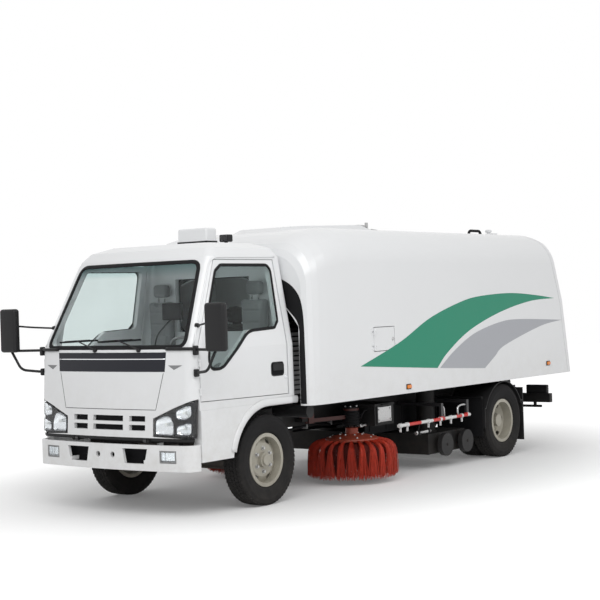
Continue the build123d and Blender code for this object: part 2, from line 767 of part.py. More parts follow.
for side in (1, -1):
    ear = block(hinge_x, hinge_x + 60, side * 380, side * 400, body_roof - 2, body_roof + 12)
    ear += rod_y(hinge_x, tail_hinge_z, 18, side * 380, side * 400)
    ear += block(hinge_x, hinge_x + 60, side * 380, side * 400, body_roof, body_roof + 34)
    ear += rod_y(hinge_x, tail_hinge_z, 8, side * 380, side * 460)
    shell += ear
write("hopper_shell", shell)
tail = whole - body_form(0, tail_thickness)
for side in (1, -1):
    eye = rod_y(hinge_x, tail_hinge_z, 18, side * 405, side * 450)
    eye += block(hinge_x - 90, hinge_x, side * 405, side * 450, body_roof + 4, tail_hinge_z + 18)
    eye += block(hinge_x - 110, hinge_x - 30, side * 405, side * 450, body_roof - 60, tail_hinge_z)
    eye -= body_form(0, tail_split - 2)
    tail += eye
for side in (1, -1):
    tail -= rod_y(hinge_x, tail_hinge_z, 8 + pin_gap, side * 395, side * 465)
write("tail_door", tail)
hatch = block(
    hatch_rear_x + panel_gap + 3, hatch_front_x - panel_gap, body_half_width - body_wall, body_half_width,
    hatch_low + panel_gap, hatch_high - panel_gap,
)
for height in hatch_hinge_heights:
    hatch += rod_z(hatch_pin_x, hatch_pin_y, hatch_knuckle_radius, height - 10, height + 10)
    hatch += block(hatch_front_x - 46, hatch_pin_x, body_half_width - 1, body_half_width + 6, height - 10, height + 10) - block(
        hatch_front_x - panel_gap, hatch_front_x, 0, body_half_width, hatch_low, hatch_high
    )
for height in hatch_hinge_heights:
    hatch -= rod_z(hatch_pin_x, hatch_pin_y, hatch_pin_radius + pin_gap, height - 30, height + 30)
write("side_hatch", hatch)

# Hopper floor with bearers on the rails and the eyes of the tipping pivot
floor_rear = tail_x + tail_split + 26
floor = block(
    floor_rear, bulkhead_x - seat_gap, -body_half_width + body_wall + seat_gap, body_half_width - body_wall - seat_gap,
    floor_bottom, floor_bottom + floor_thickness,
)
for side in (1, -1):
    floor += block(rail_rear_x + 120, bulkhead_x - 40, side * (rail_inner + 6), side * rail_half_width, rail_top, floor_bottom + 1)
    eye = rod_y(hopper_pivot_x, hopper_pivot_z, 34, side * (rail_inner - 50), side * (rail_inner - 6))
    eye += block(
        hopper_pivot_x - 34, hopper_pivot_x + 34, side * (rail_inner - 50), side * (rail_inner - 6), hopper_pivot_z, floor_bottom + 1
    )
    floor += eye
for side in (1, -1):
    floor -= rod_y(
        hopper_pivot_x, hopper_pivot_z, hopper_pin_radius + pin_gap, side * (rail_inner - 70), side * (rail_inner - 2)
    )
write("hopper_floor", floor)
cover_points = [
    (ahead(-1000), body_roof), (ahead(-1090), body_roof + 36), (ahead(-1450), body_roof + 58),
    (ahead(-2400), body_roof + 88), (ahead(-2740), body_roof),
]
cover_sides = [(-260, body_roof - 1), (-215, body_roof + 95), (215, body_roof + 95), (260, body_roof - 1)]
cover = side_prism(cover_points, -300, 300) & front_prism(cover_sides, ahead(-3000), ahead(-900))
write("roof_cover", cover)

# Auxiliary engine that drives the fan, on the rails inside the front of the body
auxiliary = block(ahead(-1480), ahead(-660), -330, 330, rail_top + 90, 1500)
for x in (ahead(-1400), ahead(-740)):
    auxiliary += block(x - 40, x + 40, -rail_half_width, rail_half_width, rail_top, rail_top + 91)
write("auxiliary_engine", auxiliary)
cleaner = rod_y(ahead(-560), 740, 55, 520, 900)
cleaner += block(ahead(-600), ahead(-520), rail_half_width, 560, 640, 700)
write("air_cleaner", cleaner)
battery = block(ahead(-2020), ahead(-1700), rail_half_width + 25, 800, 505, 700)
battery += block(ahead(-1980), ahead(-1740), rail_half_width, rail_half_width + 26, 590, 680)
write("battery_box", battery)
tank = block(ahead(-2500), ahead(-2060), -860, -rail_half_width - 25, 500, 735)
tank += block(ahead(-2440), ahead(-2120), -rail_half_width - 26, -rail_half_width, 620, 700)
write("fuel_tank", tank)

# Side guards, rear mudguards with flaps, under-run bar and rear lamps
guards = []
for side in (1, -1):
    guard = rod_x(side * 950, 495, 16, ahead(-3190), ahead(-1870 if side > 0 else -2560))
    for x in (ahead(-2640), ahead(-3130)):
        guard += block(x - 20, x + 20, side * rail_half_width, side * 965, 620, 650)
        guard += block(x - 20, x + 20, side * 940, side * 965, 490, 650)
    guards.append(guard)
write("side_guards", guards)
mudguards = []
for side in (1, -1):
    y0 = 560
    y1 = 1005
    guard = rod_y(rear_axle_x, axle_height, 412, y0, y1) - rod_y(rear_axle_x, axle_height, 404, y0 - 5, y1 + 5)
    guard -= block(rear_axle_x - 500, rear_axle_x + 500, 0, 1200, -200, axle_height + 150)
    flap = block(rear_axle_x - 420, rear_axle_x - 408, y0, y1, 140, axle_height + 320)
    flap += block(rear_axle_x + 396, rear_axle_x + 404, y0, y1, 330, axle_height + 160)
    flap += block(rear_axle_x - 412, rear_axle_x - 360, y0, y1, axle_height + 178, axle_height + 188)
    for x in (rear_axle_x - 414, rear_axle_x + 347):
        flap += block(x - 6, x + 6, rail_half_width, y0 + 5, 570, 620)
    guard += flap
    guard += block(rear_axle_x + 372, rear_axle_x + 400, y0, y1, axle_height + 150, axle_height + 158)
    mudguards.append(guard if side > 0 else other_side(guard))
write("rear_mudguards", mudguards)
bar_x = ahead(-5060)
bar_low = 470
bar_high = bar_low + 100
bar = block(bar_x - 60, bar_x, -900, 900, bar_low, bar_high)
for side in (1, -1):
    bar += block(bar_x - 60, rail_rear_x + 120, side * rail_half_width, side * (rail_half_width + 12), bar_low, 660)
bar += rod_y(bar_x - 30, bar_low - 45, 14, -780, 780)
for y in (-700, 0, 700):
    bar += block(bar_x - 40, bar_x - 20, y - 15, y + 15, bar_low - 45, bar_low + 1)
tow = block(bar_x - 130, bar_x - 59, -15, 15, bar_low + 15, bar_high - 15)
tow += rod_y(bar_x - 130, bar_low + 50, 35, -15, 15)
tow -= rod_y(bar_x - 130, bar_low + 50, 20, -40, 40)
bar += tow
write("rear_underrun_bar", bar)
tail_lamps = [block(bar_x - 62, bar_x - 12, s * 600, s * 860, bar_high, bar_high + 95) for s in (1, -1)]
write("rear_lamps", tail_lamps)


# Side brushes: swing bracket on the frame, lifting arm, and the brush itself
def brush_parts(side):
    y = brush_pivot_y
    low = rail_bottom + 72
    high = rail_bottom + 128
    bracket = rod_z(brush_pivot_x, y, 30, low, high) - rod_z(brush_pivot_x, y, 14 + pin_gap, 500, 900)
    lift_z = 600
    run = Plane(
        origin=(brush_pivot_x, y, 0), x_dir=(brush_x - brush_pivot_x, brush_y - y, 0), z_dir=(0, 0, 1)
    )
    reach = hypot(brush_x - brush_pivot_x, brush_y - y)
    lift = 95
    bracket += run * block(20, 60, -28, 28, low, high) - rod_z(brush_pivot_x, y, 20, 500, 900)
    bracket += run * block(55, lift + 22, -28, -14, 578, high)
    bracket += run * block(55, lift + 22, 14, 28, 578, high)
    bracket += run * rod_y(lift, lift_z, 10, -28, 28)
    arm = run * rod_y(lift, lift_z, 20, -9, 9)
    arm += run * block(lift, reach, -9, 9, 585, 620)
    arm += rod_z(brush_x, brush_y, 75, 520, 680)
    arm += rod_z(brush_x, brush_y, 22, brush_plate_z + 20, 521)
    arm -= run * rod_y(lift, lift_z, 10 + pin_gap, -40, 40)
    brush = rod_z(brush_x, brush_y, brush_plate_radius, brush_plate_z - 30, brush_plate_z)
    brush += Pos(brush_x, brush_y, brush_plate_z + 14) * Cone(235, 120, 30)
    brush += rod_z(brush_x, brush_y, 60, brush_plate_z - 1, 500)
    brush -= rod_z(brush_x, brush_y, 22 + pin_gap, brush_plate_z + 19, 700)
    for number in range(tuft_count):
        turn = Pos(brush_x, brush_y, 0) * Rot(0, 0, number * 360 / tuft_count)
        upper = turn * Pos(225, 0, brush_plate_z - 12) * Rectangle(36, 34)
        middle = turn * Pos(brush_radius - 42, 0, brush_plate_z - 85) * Rectangle(50, 56)
        lower = turn * Pos(brush_radius - 33, 0, brush_tip_z) * Rectangle(66, 80)
        brush += loft([upper, middle, lower], ruled=True)
    if side < 0:
        return other_side(bracket), other_side(arm), other_side(brush)
    return bracket, arm, brush


for side, word in ((1, "left"), (-1, "right")):
    bracket, arm, brush = brush_parts(side)
    write(f"{word}_brush_bracket", bracket)
    write(f"{word}_brush_arm", arm)
    write(f"{word}_brush", brush)

# Suction nozzle on its guide posts, with four rollers
front = nozzle_x + nozzle_length / 2
rear = nozzle_x - nozzle_length / 2
nozzle = block(rear, front, -nozzle_half_width, nozzle_half_width, nozzle_bottom, nozzle_top)
nozzle -= block(
    rear + nozzle_wall, front - nozzle_wall, -nozzle_half_width + nozzle_wall, nozzle_half_width - nozzle_wall,
    nozzle_bottom - 10, nozzle_top - nozzle_wall,
)
for side in (1, -1):
    nozzle += rod_z(nozzle_x, side * 300, 34, nozzle_top - 5, nozzle_top + 110)
    nozzle += rod_z(nozzle_x, side * duct_y, duct_radius, nozzle_top - 5, duct_top)
    nozzle += rod_z(nozzle_x, side * duct_y, duct_radius + 12, nozzle_top - 5, nozzle_top + 14)
    for x in nozzle_wheel_xs:
        nozzle += block(x - 30, x + 30, side * (nozzle_half_width - 5), side * (nozzle_half_width + 22), 200, 310)
        nozzle += rod_y(x, nozzle_wheel_z, 14, side * (nozzle_half_width + 20), side * (nozzle_wheel_y + 30))
for side in (1, -1):
    nozzle -= rod_z(nozzle_x, side * 300, 16 + pin_gap, 200, 600)
    nozzle -= rod_z(nozzle_x, side * duct_y, duct_radius - 6, nozzle_top - nozzle_wall - 5, duct_top + 5)
write("suction_nozzle", nozzle)
for x, place in zip(nozzle_wheel_xs, ("front", "rear")):
    for side, word in ((1, "left"), (-1, "right")):
        y0 = side * (nozzle_wheel_y - nozzle_wheel_width / 2)
        y1 = side * (nozzle_wheel_y + nozzle_wheel_width / 2)
        roller = rod_y(x, nozzle_wheel_z, nozzle_wheel_radius, y0, y1)
        roller -= rod_y(x, nozzle_wheel_z, 14 + pin_gap, y0 - side * 5, y1 + side * 5)
        write(f"nozzle_{place}_{word}_roller", roller)
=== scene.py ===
import math

import bmesh
import bpy
from mathutils import Matrix, Vector
from mathutils.bvhtree import BVHTree


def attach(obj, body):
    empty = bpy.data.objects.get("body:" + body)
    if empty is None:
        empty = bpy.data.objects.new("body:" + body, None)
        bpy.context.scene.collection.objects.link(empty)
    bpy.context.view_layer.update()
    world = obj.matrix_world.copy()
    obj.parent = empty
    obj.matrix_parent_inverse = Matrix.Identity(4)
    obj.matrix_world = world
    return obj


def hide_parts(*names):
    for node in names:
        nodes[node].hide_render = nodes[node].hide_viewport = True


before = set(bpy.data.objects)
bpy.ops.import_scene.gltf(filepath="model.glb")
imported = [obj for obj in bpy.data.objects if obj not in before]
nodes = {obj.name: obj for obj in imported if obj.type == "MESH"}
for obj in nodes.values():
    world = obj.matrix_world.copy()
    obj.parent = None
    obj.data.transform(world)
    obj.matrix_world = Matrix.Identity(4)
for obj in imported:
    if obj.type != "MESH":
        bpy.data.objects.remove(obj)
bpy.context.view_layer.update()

scene = bpy.context.scene

# Metres, X forward, Y to the vehicle's left, Z up. Lengths along X are given from the front axle.
frontAxle = 2.145
rearAxle = frontAxle - 3.815
axleHeight = 0.380
bodySide = 1.03
bothSides = ((1, "left"), (-1, "right"))


def ahead(distance):
    return frontAxle + distance


# Node helpers: an input takes a value or the output of another node
def feed(tree, node, inputs):
    for name, value in inputs.items():
        if isinstance(value, bpy.types.NodeSocket):
            tree.links.new(value, node.inputs[name])
        else:
            node.inputs[name].default_value = value


def addNode(tree, kind, inputs, **settings):
    node = tree.nodes.new(kind)
    for name, value in settings.items():
        setattr(node, name, value)
    feed(tree, node, inputs)
    return node


def maths(tree, operation, first, second):
    return addNode(tree, "ShaderNodeMath", {0: first, 1: second}, operation=operation).outputs[0]


def ramp(tree, value, start=(0.0, 1.0), end=(0.0, 1.0), **settings):
    inputs = {"Value": value, "From Min": start[0], "From Max": start[1], "To Min": end[0], "To Max": end[1]}
    return addNode(tree, "ShaderNodeMapRange", inputs, **settings).outputs["Result"]


def mixColor(tree, factor, first, second):
    inputs = {"Factor": factor, "A": first, "B": second}
    return addNode(tree, "ShaderNodeMix", inputs, data_type="RGBA").outputs["Result"]


def noise(tree, place, scale, detail, roughness=0.5):
    inputs = {"Vector": place, "Scale": scale, "Detail": detail, "Roughness": roughness}
    return addNode(tree, "ShaderNodeTexNoise", inputs).outputs["Fac"]


def objectPlace(tree):
    return tree.nodes.new("ShaderNodeTexCoord").outputs["Object"]


def objectAxis(tree, axis):
    return addNode(tree, "ShaderNodeSeparateXYZ", {0: objectPlace(tree)}).outputs[axis]


def seenRays(tree):
    rays = tree.nodes.new("ShaderNodeLightPath").outputs
    direct = maths(tree, "MAXIMUM", rays["Is Camera Ray"], rays["Is Transmission Ray"])
    return maths(tree, "MAXIMUM", direct, rays["Is Glossy Ray"])


# Camera, floor and light
camera = {"place": (ahead(9.1342), 8.1463, 1.7005), "yaw": 217.048, "pitch": 0.031, "roll": -1.841,
          "lens": 83.84}
light = {
    "worldColor": (1.0, 1.0, 1.0),
    "worldStrength": 0.50,
    "floorColor": (0.86, 0.86, 0.86),
    "floorSize": 60.0,
    # floor glow runs from the near value to the far value; the dimmer glow near the truck is painted shade
    "floorGlow": (0.10, 0.55),
    "glowFrom": (0.6, 1.5),
    "paintedShadeHalf": (4.2, 2.6),
}


def addCamera(settings):
    yaw, pitch, roll = [math.radians(settings[word]) for word in ("yaw", "pitch", "roll")]
    forward = Vector((math.cos(yaw) * math.cos(pitch), math.sin(yaw) * math.cos(pitch), math.sin(pitch)))
    right = forward.cross(Vector((0, 0, 1))).normalized()
    up = right.cross(forward)
    turnedRight = right * math.cos(roll) + up * math.sin(roll)
    turnedUp = up * math.cos(roll) - right * math.sin(roll)
    data = bpy.data.cameras.new("camera")
    data.lens = settings["lens"]
    data.sensor_width = 36.0
    data.clip_end = 200
    eye = bpy.data.objects.new("camera", data)
    scene.collection.objects.link(eye)
    basis = Matrix((turnedRight, turnedUp, -forward)).transposed().to_4x4()
    eye.matrix_world = Matrix.Translation(settings["place"]) @ basis
    scene.camera = eye


def addAreaLight(name, place, target, size, power):
    data = bpy.data.lights.new(name, "AREA")
    data.shape = "RECTANGLE"
    data.size, data.size_y = size
    data.energy = power
    lamp = bpy.data.objects.new(name, data)
    scene.collection.objects.link(lamp)
    look = (Vector(target) - Vector(place)).to_track_quat("-Z", "Y")
    lamp.matrix_world = Matrix.Translation(place) @ look.to_matrix().to_4x4()


addCamera(camera)
world = bpy.data.worlds.new("studio")
world.use_nodes = True
skyTree = world.node_tree
skyLevel = ramp(skyTree, seenRays(skyTree), end=(light["worldStrength"], 1.0))
feed(skyTree, skyTree.nodes["Background"], {0: (*light["worldColor"], 1), 1: skyLevel})
scene.world = world
scene.view_settings.view_transform = "Standard"
addAreaLight("keyLight", (ahead(6), 5, 7.5), (ahead(-1.5), 0.4, 1.0), (7, 5), 420)
addAreaLight("sideLight", (ahead(-3), 9, 6.5), (ahead(-2.2), 0.8, 1.2), (8, 4), 160)
floorMesh = bpy.data.meshes.new("floor")
half = light["floorSize"] / 2
floorMesh.from_pydata([(-half, -half, 0), (half, -half, 0), (half, half, 0), (-half, half, 0)], [],
                      [(0, 1, 2, 3)])
floor = bpy.data.objects.new("floor", floorMesh)
scene.collection.objects.link(floor)
print("stage: camera, floor and light")


# Materials: colour varies by noise, dust gathers low on the vehicle, all on object coordinates
def newMaterial(name, inputs):
    material = bpy.data.materials.new(name)
    material.use_nodes = True
    tree = material.node_tree
    shader = tree.nodes["Principled BSDF"]
    feed(tree, shader, inputs)
    return material, tree, shader


def shades(color, variation):
    return (*[c * (1 - variation) for c in color], 1), (*[min(c * (1 + variation), 1) for c in color], 1)


def surface(name, color, roughness, metallic=0.0, variation=0.06, variationScale=3.0, roughVariation=0.06,
            grain=400.0, grainStrength=0.03, dust=0.0, dustColor=(0.42, 0.38, 0.32), dustTop=1.0,
            dustBase=0.1, coat=0.0, sheen=0.0, specular=0.5):
    gloss = {"Specular IOR Level": specular, "Coat Weight": coat, "Coat Roughness": 0.06}
    material, tree, shader = newMaterial(name, {"Metallic": metallic, "Sheen Weight": sheen, **gloss})
    place = objectPlace(tree)
    cloud = noise(tree, place, variationScale, 6.0, 0.6)
    tone = mixColor(tree, cloud, *shades(color, variation))
    rough = ramp(tree, cloud, end=(roughness - roughVariation, roughness + roughVariation))
    if dust > 0:
        low = ramp(tree, objectAxis(tree, "Z"), (dustTop, dustBase))
        speck = ramp(tree, noise(tree, place, 9.0, 8.0, 0.7), (0.35, 0.75), (0.15, 1.0))
        share = maths(tree, "MULTIPLY", maths(tree, "MULTIPLY", low, speck), dust)
        tone = mixColor(tree, share, tone, (*dustColor, 1))
        rough = addNode(tree, "ShaderNodeMix", {"Factor": share, "A": rough, "B": 0.85}).outputs["Result"]
    feed(tree, shader, {"Base Color": tone, "Roughness": rough})
    if grainStrength > 0:
        fine = noise(tree, place, grain, 3.0)
        bump = addNode(tree, "ShaderNodeBump", {"Strength": grainStrength, "Distance": 0.002, "Height": fine})
        feed(tree, shader, {"Normal": bump.outputs["Normal"]})
    return material


def glassSurface(name, color, ior=1.2, coat=0.0):
    looks = {"Transmission Weight": 1.0, "IOR": ior, "Roughness": 0.01, "Coat Weight": coat}
    material, tree, shader = newMaterial(name, looks)
    film = noise(tree, objectPlace(tree), 2.0, 5.0)
    feed(tree, shader, {"Base Color": mixColor(tree, film, *shades(color, 0.06))})
    return material


def coverColor(material, makeFactor, color):
    tree = material.node_tree
    shader = tree.nodes["Principled BSDF"]
    under = shader.inputs["Base Color"].links[0].from_socket
    feed(tree, shader, {"Base Color": mixColor(tree, makeFactor(tree), under, (*color, 1))})


def blendByHeight(material, start, end, color):
    coverColor(material, lambda tree: ramp(tree, objectAxis(tree, "Z"), (start, end)), color)


def bandedSurface(name, first, second, base, pitch, top):
    def inBand(tree):
        return maths(tree, "GREATER_THAN", maths(tree, "PINGPONG", objectAxis(tree, "X"), pitch), pitch / 2)

    material = surface(name, first, 0.4, variation=0.05, dust=0.3, dustTop=0.7, dustBase=0.2)
    coverColor(material, inBand, second)
    coverColor(material, lambda tree: maths(tree, "GREATER_THAN", objectAxis(tree, "Z"), top), base)
    return material


whiteLook = {"color": (0.80, 0.81, 0.82), "roughness": 0.30, "variation": 0.015, "variationScale": 1.2,
             "grain": 260, "grainStrength": 0.012, "dust": 0.35, "dustTop": 1.25, "dustBase": 0.35,
             "coat": 0.5}
paint = {
    "bands": bandedSurface("guardBands", (0.62, 0.02, 0.018), (0.72, 0.72, 0.71), (0.02, 0.02, 0.022), 0.22,
                           0.52),
    "white": surface("whitePaint", **whiteLook),
    "cabWhite": surface("cabPaint", **whiteLook),
    "frame": surface("framePaint", (0.013, 0.013, 0.014), 0.55, dust=0.4, dustTop=0.9, dustBase=0.2,
                     dustColor=(0.07, 0.06, 0.05), specular=0.2),
    "iron": surface("castIron", (0.055, 0.05, 0.048), 0.62, metallic=0.5, variation=0.3, variationScale=14,
                    dust=0.5, dustTop=1.2, dustBase=0.2, dustColor=(0.17, 0.14, 0.11), grain=160,
                    grainStrength=0.2),
    "rim": surface("rimPaint", (0.42, 0.40, 0.34), 0.50, metallic=0.25, variation=0.18, variationScale=11,
                   dust=0.55, dustTop=0.65, dustBase=0.1, dustColor=(0.22, 0.19, 0.15), grain=220,
                   grainStrength=0.08),
    "tyre": surface("tyreRubber", (0.017, 0.0165, 0.017), 0.82, variation=0.25, variationScale=8, dust=0.45,
                    dustTop=0.6, dustBase=0.0, dustColor=(0.075, 0.068, 0.06), grain=500, grainStrength=0.12,
                    specular=0.15),
    "blackPlastic": surface("blackPlastic", (0.014, 0.014, 0.015), 0.48, dust=0.3, dustTop=0.9, dustBase=0.1,
                            dustColor=(0.07, 0.065, 0.06), grain=900, grainStrength=0.12, specular=0.25),
    "glossBlack": surface("glossBlack", (0.010, 0.011, 0.018), 0.22, grainStrength=0.0, specular=0.3),
    "redBristle": surface("redBristle", (0.50, 0.035, 0.012), 0.55, variation=0.4, variationScale=26,
                          dust=0.35, dustTop=0.3, dustBase=0.05, dustColor=(0.20, 0.06, 0.04), grain=700,
                          grainStrength=0.1),
    # Inner bristles: the bristle red darkened as painted shade inside the brush
    "innerBristlePaintedShade": surface("innerBristlePaintedShade", (0.16, 0.014, 0.008), 0.65, variation=0.3, variationScale=30,
                            dust=0.3, dustTop=0.3, dustBase=0.05, dustColor=(0.12, 0.09, 0.07)),
    "brushPlate": surface("brushPlate", (0.30, 0.045, 0.02), 0.45, variation=0.2, variationScale=14, dust=0.4,
                          dustTop=0.5, dustBase=0.2, dustColor=(0.16, 0.10, 0.07), grain=500,
                          grainStrength=0.08),
    # Brush arms and brackets: dark red taken nearly to black as painted shade, for parts that lie in shadow
    # under the body
    "redWithPaintedShade": surface("redWithPaintedShade", (0.065, 0.011, 0.008), 0.5, dust=0.35, dustTop=0.9, dustBase=0.2,
                       dustColor=(0.06, 0.048, 0.04)),
    "greyPaint": surface("greyPaint", (0.22, 0.225, 0.23), 0.5, dust=0.5, dustTop=0.9, dustBase=0.1,
                         dustColor=(0.2, 0.18, 0.15)),
    "seatCloth": surface("seatCloth", (0.24, 0.245, 0.25), 0.9, variation=0.15, variationScale=30, grain=900,
                         grainStrength=0.4, sheen=0.3),
    "dash": surface("dashPlastic", (0.30, 0.30, 0.305), 0.6, grain=900, grainStrength=0.15),
    "steel": surface("brightSteel", (0.45, 0.45, 0.45), 0.28, metallic=1.0, variation=0.08, variationScale=20,
                     grainStrength=0.02),
    "lampRed": surface("lampRed", (0.45, 0.01, 0.008), 0.12, coat=0.5, grainStrength=0.0),
    "rubber": surface("sealRubber", (0.010, 0.010, 0.011), 0.6, variation=0.15, variationScale=18, grain=600,
                      grainStrength=0.08, specular=0.15),
    "seam": surface("seamShadow", (0.05, 0.05, 0.052), 0.7, variation=0.1, grainStrength=0.0),
    # Near-black liner: dark lamp housings and handle recesses, and painted shade on the plates behind the
    # grille slots and bumper openings
    "linerWithPaintedShade": surface("linerWithPaintedShade", (0.008, 0.008, 0.009), 0.7, variation=0.2, variationScale=12, grain=500,
                         grainStrength=0.1, specular=0.1),
    "chrome": surface("lampChrome", (0.80, 0.81, 0.83), 0.10, metallic=1.0, variation=0.05, variationScale=25,
                      grainStrength=0.0),
    "amber": surface("amberLens", (0.80, 0.22, 0.01), 0.15, variation=0.08, variationScale=60, grain=150,
                     grainStrength=0.15, coat=0.5),
    "bulb": surface("bulbGlass", (0.85, 0.86, 0.84), 0.08, variation=0.03, variationScale=40,
                    grainStrength=0.0, coat=0.8),
    "mirror": surface("mirrorGlass", (0.72, 0.75, 0.78), 0.04, metallic=1.0, variation=0.02,
                      roughVariation=0.02, grainStrength=0.0),
    "glass": glassSurface("doorGlass", (0.70, 0.77, 0.76)),
    "screenGlass": glassSurface("screenGlass", (0.88, 0.92, 0.92)),
    "lens": glassSurface("clearLens", (0.93, 0.95, 0.96), ior=1.12, coat=0.6),
}
blendByHeight(paint["cabWhite"], 0.644, 0.641, (0.014, 0.014, 0.015))
blendByHeight(paint["screenGlass"], 1.93, 2.02, (0.50, 0.68, 0.68))
nodePaint = {
    "white": ["front_panel", "side_skirts", "left_door", "right_door", "hopper_shell", "tail_door",
              "side_hatch", "roof_cover", "roof_sign", "front_bumper"],
    "frame": ["frame_rails", "frame_crossmembers", "leaf_springs", "drive_shaft", "tie_rod",
              "rear_underrun_bar", "hopper_floor", "suction_nozzle"],
    "bands": ["side_guards"],
    "iron": ["front_axle_beam", "rear_axle", "engine_block", "auxiliary_engine", "left_knuckle",
             "right_knuckle"],
    "rim": ["front_left_wheel", "front_right_wheel", "rear_left_wheels", "rear_right_wheels"],
    "tyre": ["front_left_tyre", "front_right_tyre", "rear_left_tyres", "rear_right_tyres"],
    "blackPlastic": ["mirrors", "battery_box", "rear_mudguards", "air_cleaner", "nozzle_front_left_roller",
                     "nozzle_front_right_roller", "nozzle_rear_left_roller", "nozzle_rear_right_roller"],
    "glossBlack": ["front_band"],
    "redBristle": ["left_brush", "right_brush"],
    # brush arms and brackets take the red darkened as painted shade
    "redWithPaintedShade": ["left_brush_bracket", "right_brush_bracket", "left_brush_arm", "right_brush_arm"],
    "greyPaint": ["fuel_tank"],
    "seatCloth": ["seats"],
    "dash": ["dashboard", "steering_wheel"],
    "lampRed": ["rear_lamps"],
    "glass": ["left_door_glass", "right_door_glass"],
    "screenGlass": ["cab_glass"],
    "cabWhite": ["cab_shell"],
    "lens": ["headlamps", "fog_lamps"],
}


def setPaint(piece, material):
    piece.data.materials.clear()
    piece.data.materials.append(material)


for key, names in nodePaint.items():
    for name in names:
        setPaint(nodes[name], paint[key])
# Floor: white glow for camera, glossy and transmission rays, weaker within an ellipse around the truck; this
# dimmer pool is painted shade on the floor, over the real shadow
floorPaint = surface("paleFloor", light["floorColor"], 0.75, variation=0.01, variationScale=0.6,
                     grainStrength=0.0)
floorTree = floorPaint.node_tree
floorScale = (1 / light["paintedShadeHalf"][0], 1 / light["paintedShadeHalf"][1], 0)
floorSpot = addNode(floorTree, "ShaderNodeMapping", {"Vector": objectPlace(floorTree), "Scale": floorScale})
floorAway = addNode(floorTree, "ShaderNodeVectorMath", {0: floorSpot.outputs["Vector"]}, operation="LENGTH")
floorGlow = ramp(floorTree, floorAway.outputs["Value"], light["glowFrom"], light["floorGlow"],
                 interpolation_type="SMOOTHSTEP")
feed(floorTree, floorTree.nodes["Principled BSDF"], {
    "Emission Color": (1, 1, 1, 1),
    "Emission Strength": maths(floorTree, "MULTIPLY", seenRays(floorTree), floorGlow),
})
setPaint(floor, floorPaint)
print("stage: materials")


# Shapes are pairs of vertices and faces; a piece joins some shapes, takes a paint and rides on a body
def meshShape(mesh):
    return [tuple(v.co) for v in mesh.vertices], [tuple(p.vertices) for p in mesh.polygons]


def joinShapes(shapes):
    vertices, faces = [], []
    for shapeVertices, shapeFaces in shapes:
        base = len(vertices)
        vertices.extend(shapeVertices)
        faces.extend([tuple(i + base for i in face) for face in shapeFaces])
    return vertices, faces


def mirrored(shape):
    vertices, faces = shape
    return [(x, -y, z) for x, y, z in vertices], [tuple(reversed(face)) for face in faces]


def faceOutwards(mesh):
    work = bmesh.new()
    work.from_mesh(mesh)
    bmesh.ops.recalc_face_normals(work, faces=work.faces[:])
    work.to_mesh(mesh)
    work.free()


def finishPiece(name, mesh, finish, body, smooth=False):
    piece = bpy.data.objects.new(name, mesh)
    scene.collection.objects.link(piece)
    setPaint(piece, paint[finish])
    if smooth:
        mesh.shade_smooth()
    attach(piece, body)
    return piece


def meshPiece(name, shapes, finish, body, smooth=False, closed=True):
    vertices, faces = joinShapes(shapes)
    mesh = bpy.data.meshes.new(name)
    mesh.from_pydata(vertices, [], faces)
    mesh.validate()
    mesh.update()
    if closed:
        faceOutwards(mesh)
    return finishPiece(name, mesh, finish, body, smooth)


def pairPiece(name, shapes, finish, body, smooth=False, closed=True):
    return meshPiece(name, shapes + [mirrored(s) for s in shapes], finish, body, smooth, closed)


def loops(rows, count, joined, wrapped=True):
    faces = []
    for row in range(rows if joined else rows - 1):
        a = row * count
        b = (row + 1) % rows * count
        for i in range(count if wrapped else count - 1):
            j = (i + 1) % count
            faces.append((a + i, a + j, b + j, b + i))
    return faces


def endCaps(rows, count):
    return [tuple(reversed(range(count))), tuple((rows - 1) * count + k for k in range(count))]


# A turned profile has (radius, offset along the axis) points; one on the axis has the radius core
core = 0.0004


def lathe(profile, segments, center, axis="Y"):
    vertices = []
    for step in range(segments):
        angle = 2 * math.pi * step / segments
        for radius, offset in profile:
            u, v = radius * math.cos(angle), radius * math.sin(angle)
            turned = {"X": (offset, u, v), "Y": (u, offset, v), "Z": (u, v, offset)}[axis]
            vertices.append(tuple(c + t for c, t in zip(center, turned)))
    return vertices, loops(segments, len(profile), True)


def collar(inner, outer, half, segments, center):
    return lathe([(inner, -half), (outer, -half), (outer, half), (inner, half)], segments, center, "X")


def roundedBlock(low, high, radius, segments):
    work = bmesh.new()
    bmesh.ops.create_cube(work, size=1.0)
    size = [high[i] - low[i] for i in range(3)]
    for vertex in work.verts:
        vertex.co = Vector([low[i] + (vertex.co[i] + 0.5) * size[i] for i in range(3)])
    bmesh.ops.bevel(work, geom=work.edges[:], offset=radius, segments=segments, profile=0.5, affect="EDGES")
    vertices = [tuple(v.co) for v in work.verts]
    work.verts.index_update()
    faces = [tuple(v.index for v in f.verts) for f in work.faces]
    work.free()
    return vertices, faces


def tube(path, radius, sides):
    points = [Vector(p) for p in path]
    last = len(points) - 1
    vertices = []
    side = None
    for i, point in enumerate(points):
        along = (points[min(i + 1, last)] - points[max(i - 1, 0)]).normalized()
        if side is None:
            side = along.cross(Vector((0.13, 0.31, 0.94))).normalized()
        side = (side - along * side.dot(along)).normalized()
        other = along.cross(side)
        for k in range(sides):
            angle = 2 * math.pi * k / sides
            vertices.append(tuple(point + (side * math.cos(angle) + other * math.sin(angle)) * radius))
    return vertices, loops(len(points), sides, False) + endCaps(len(points), sides)


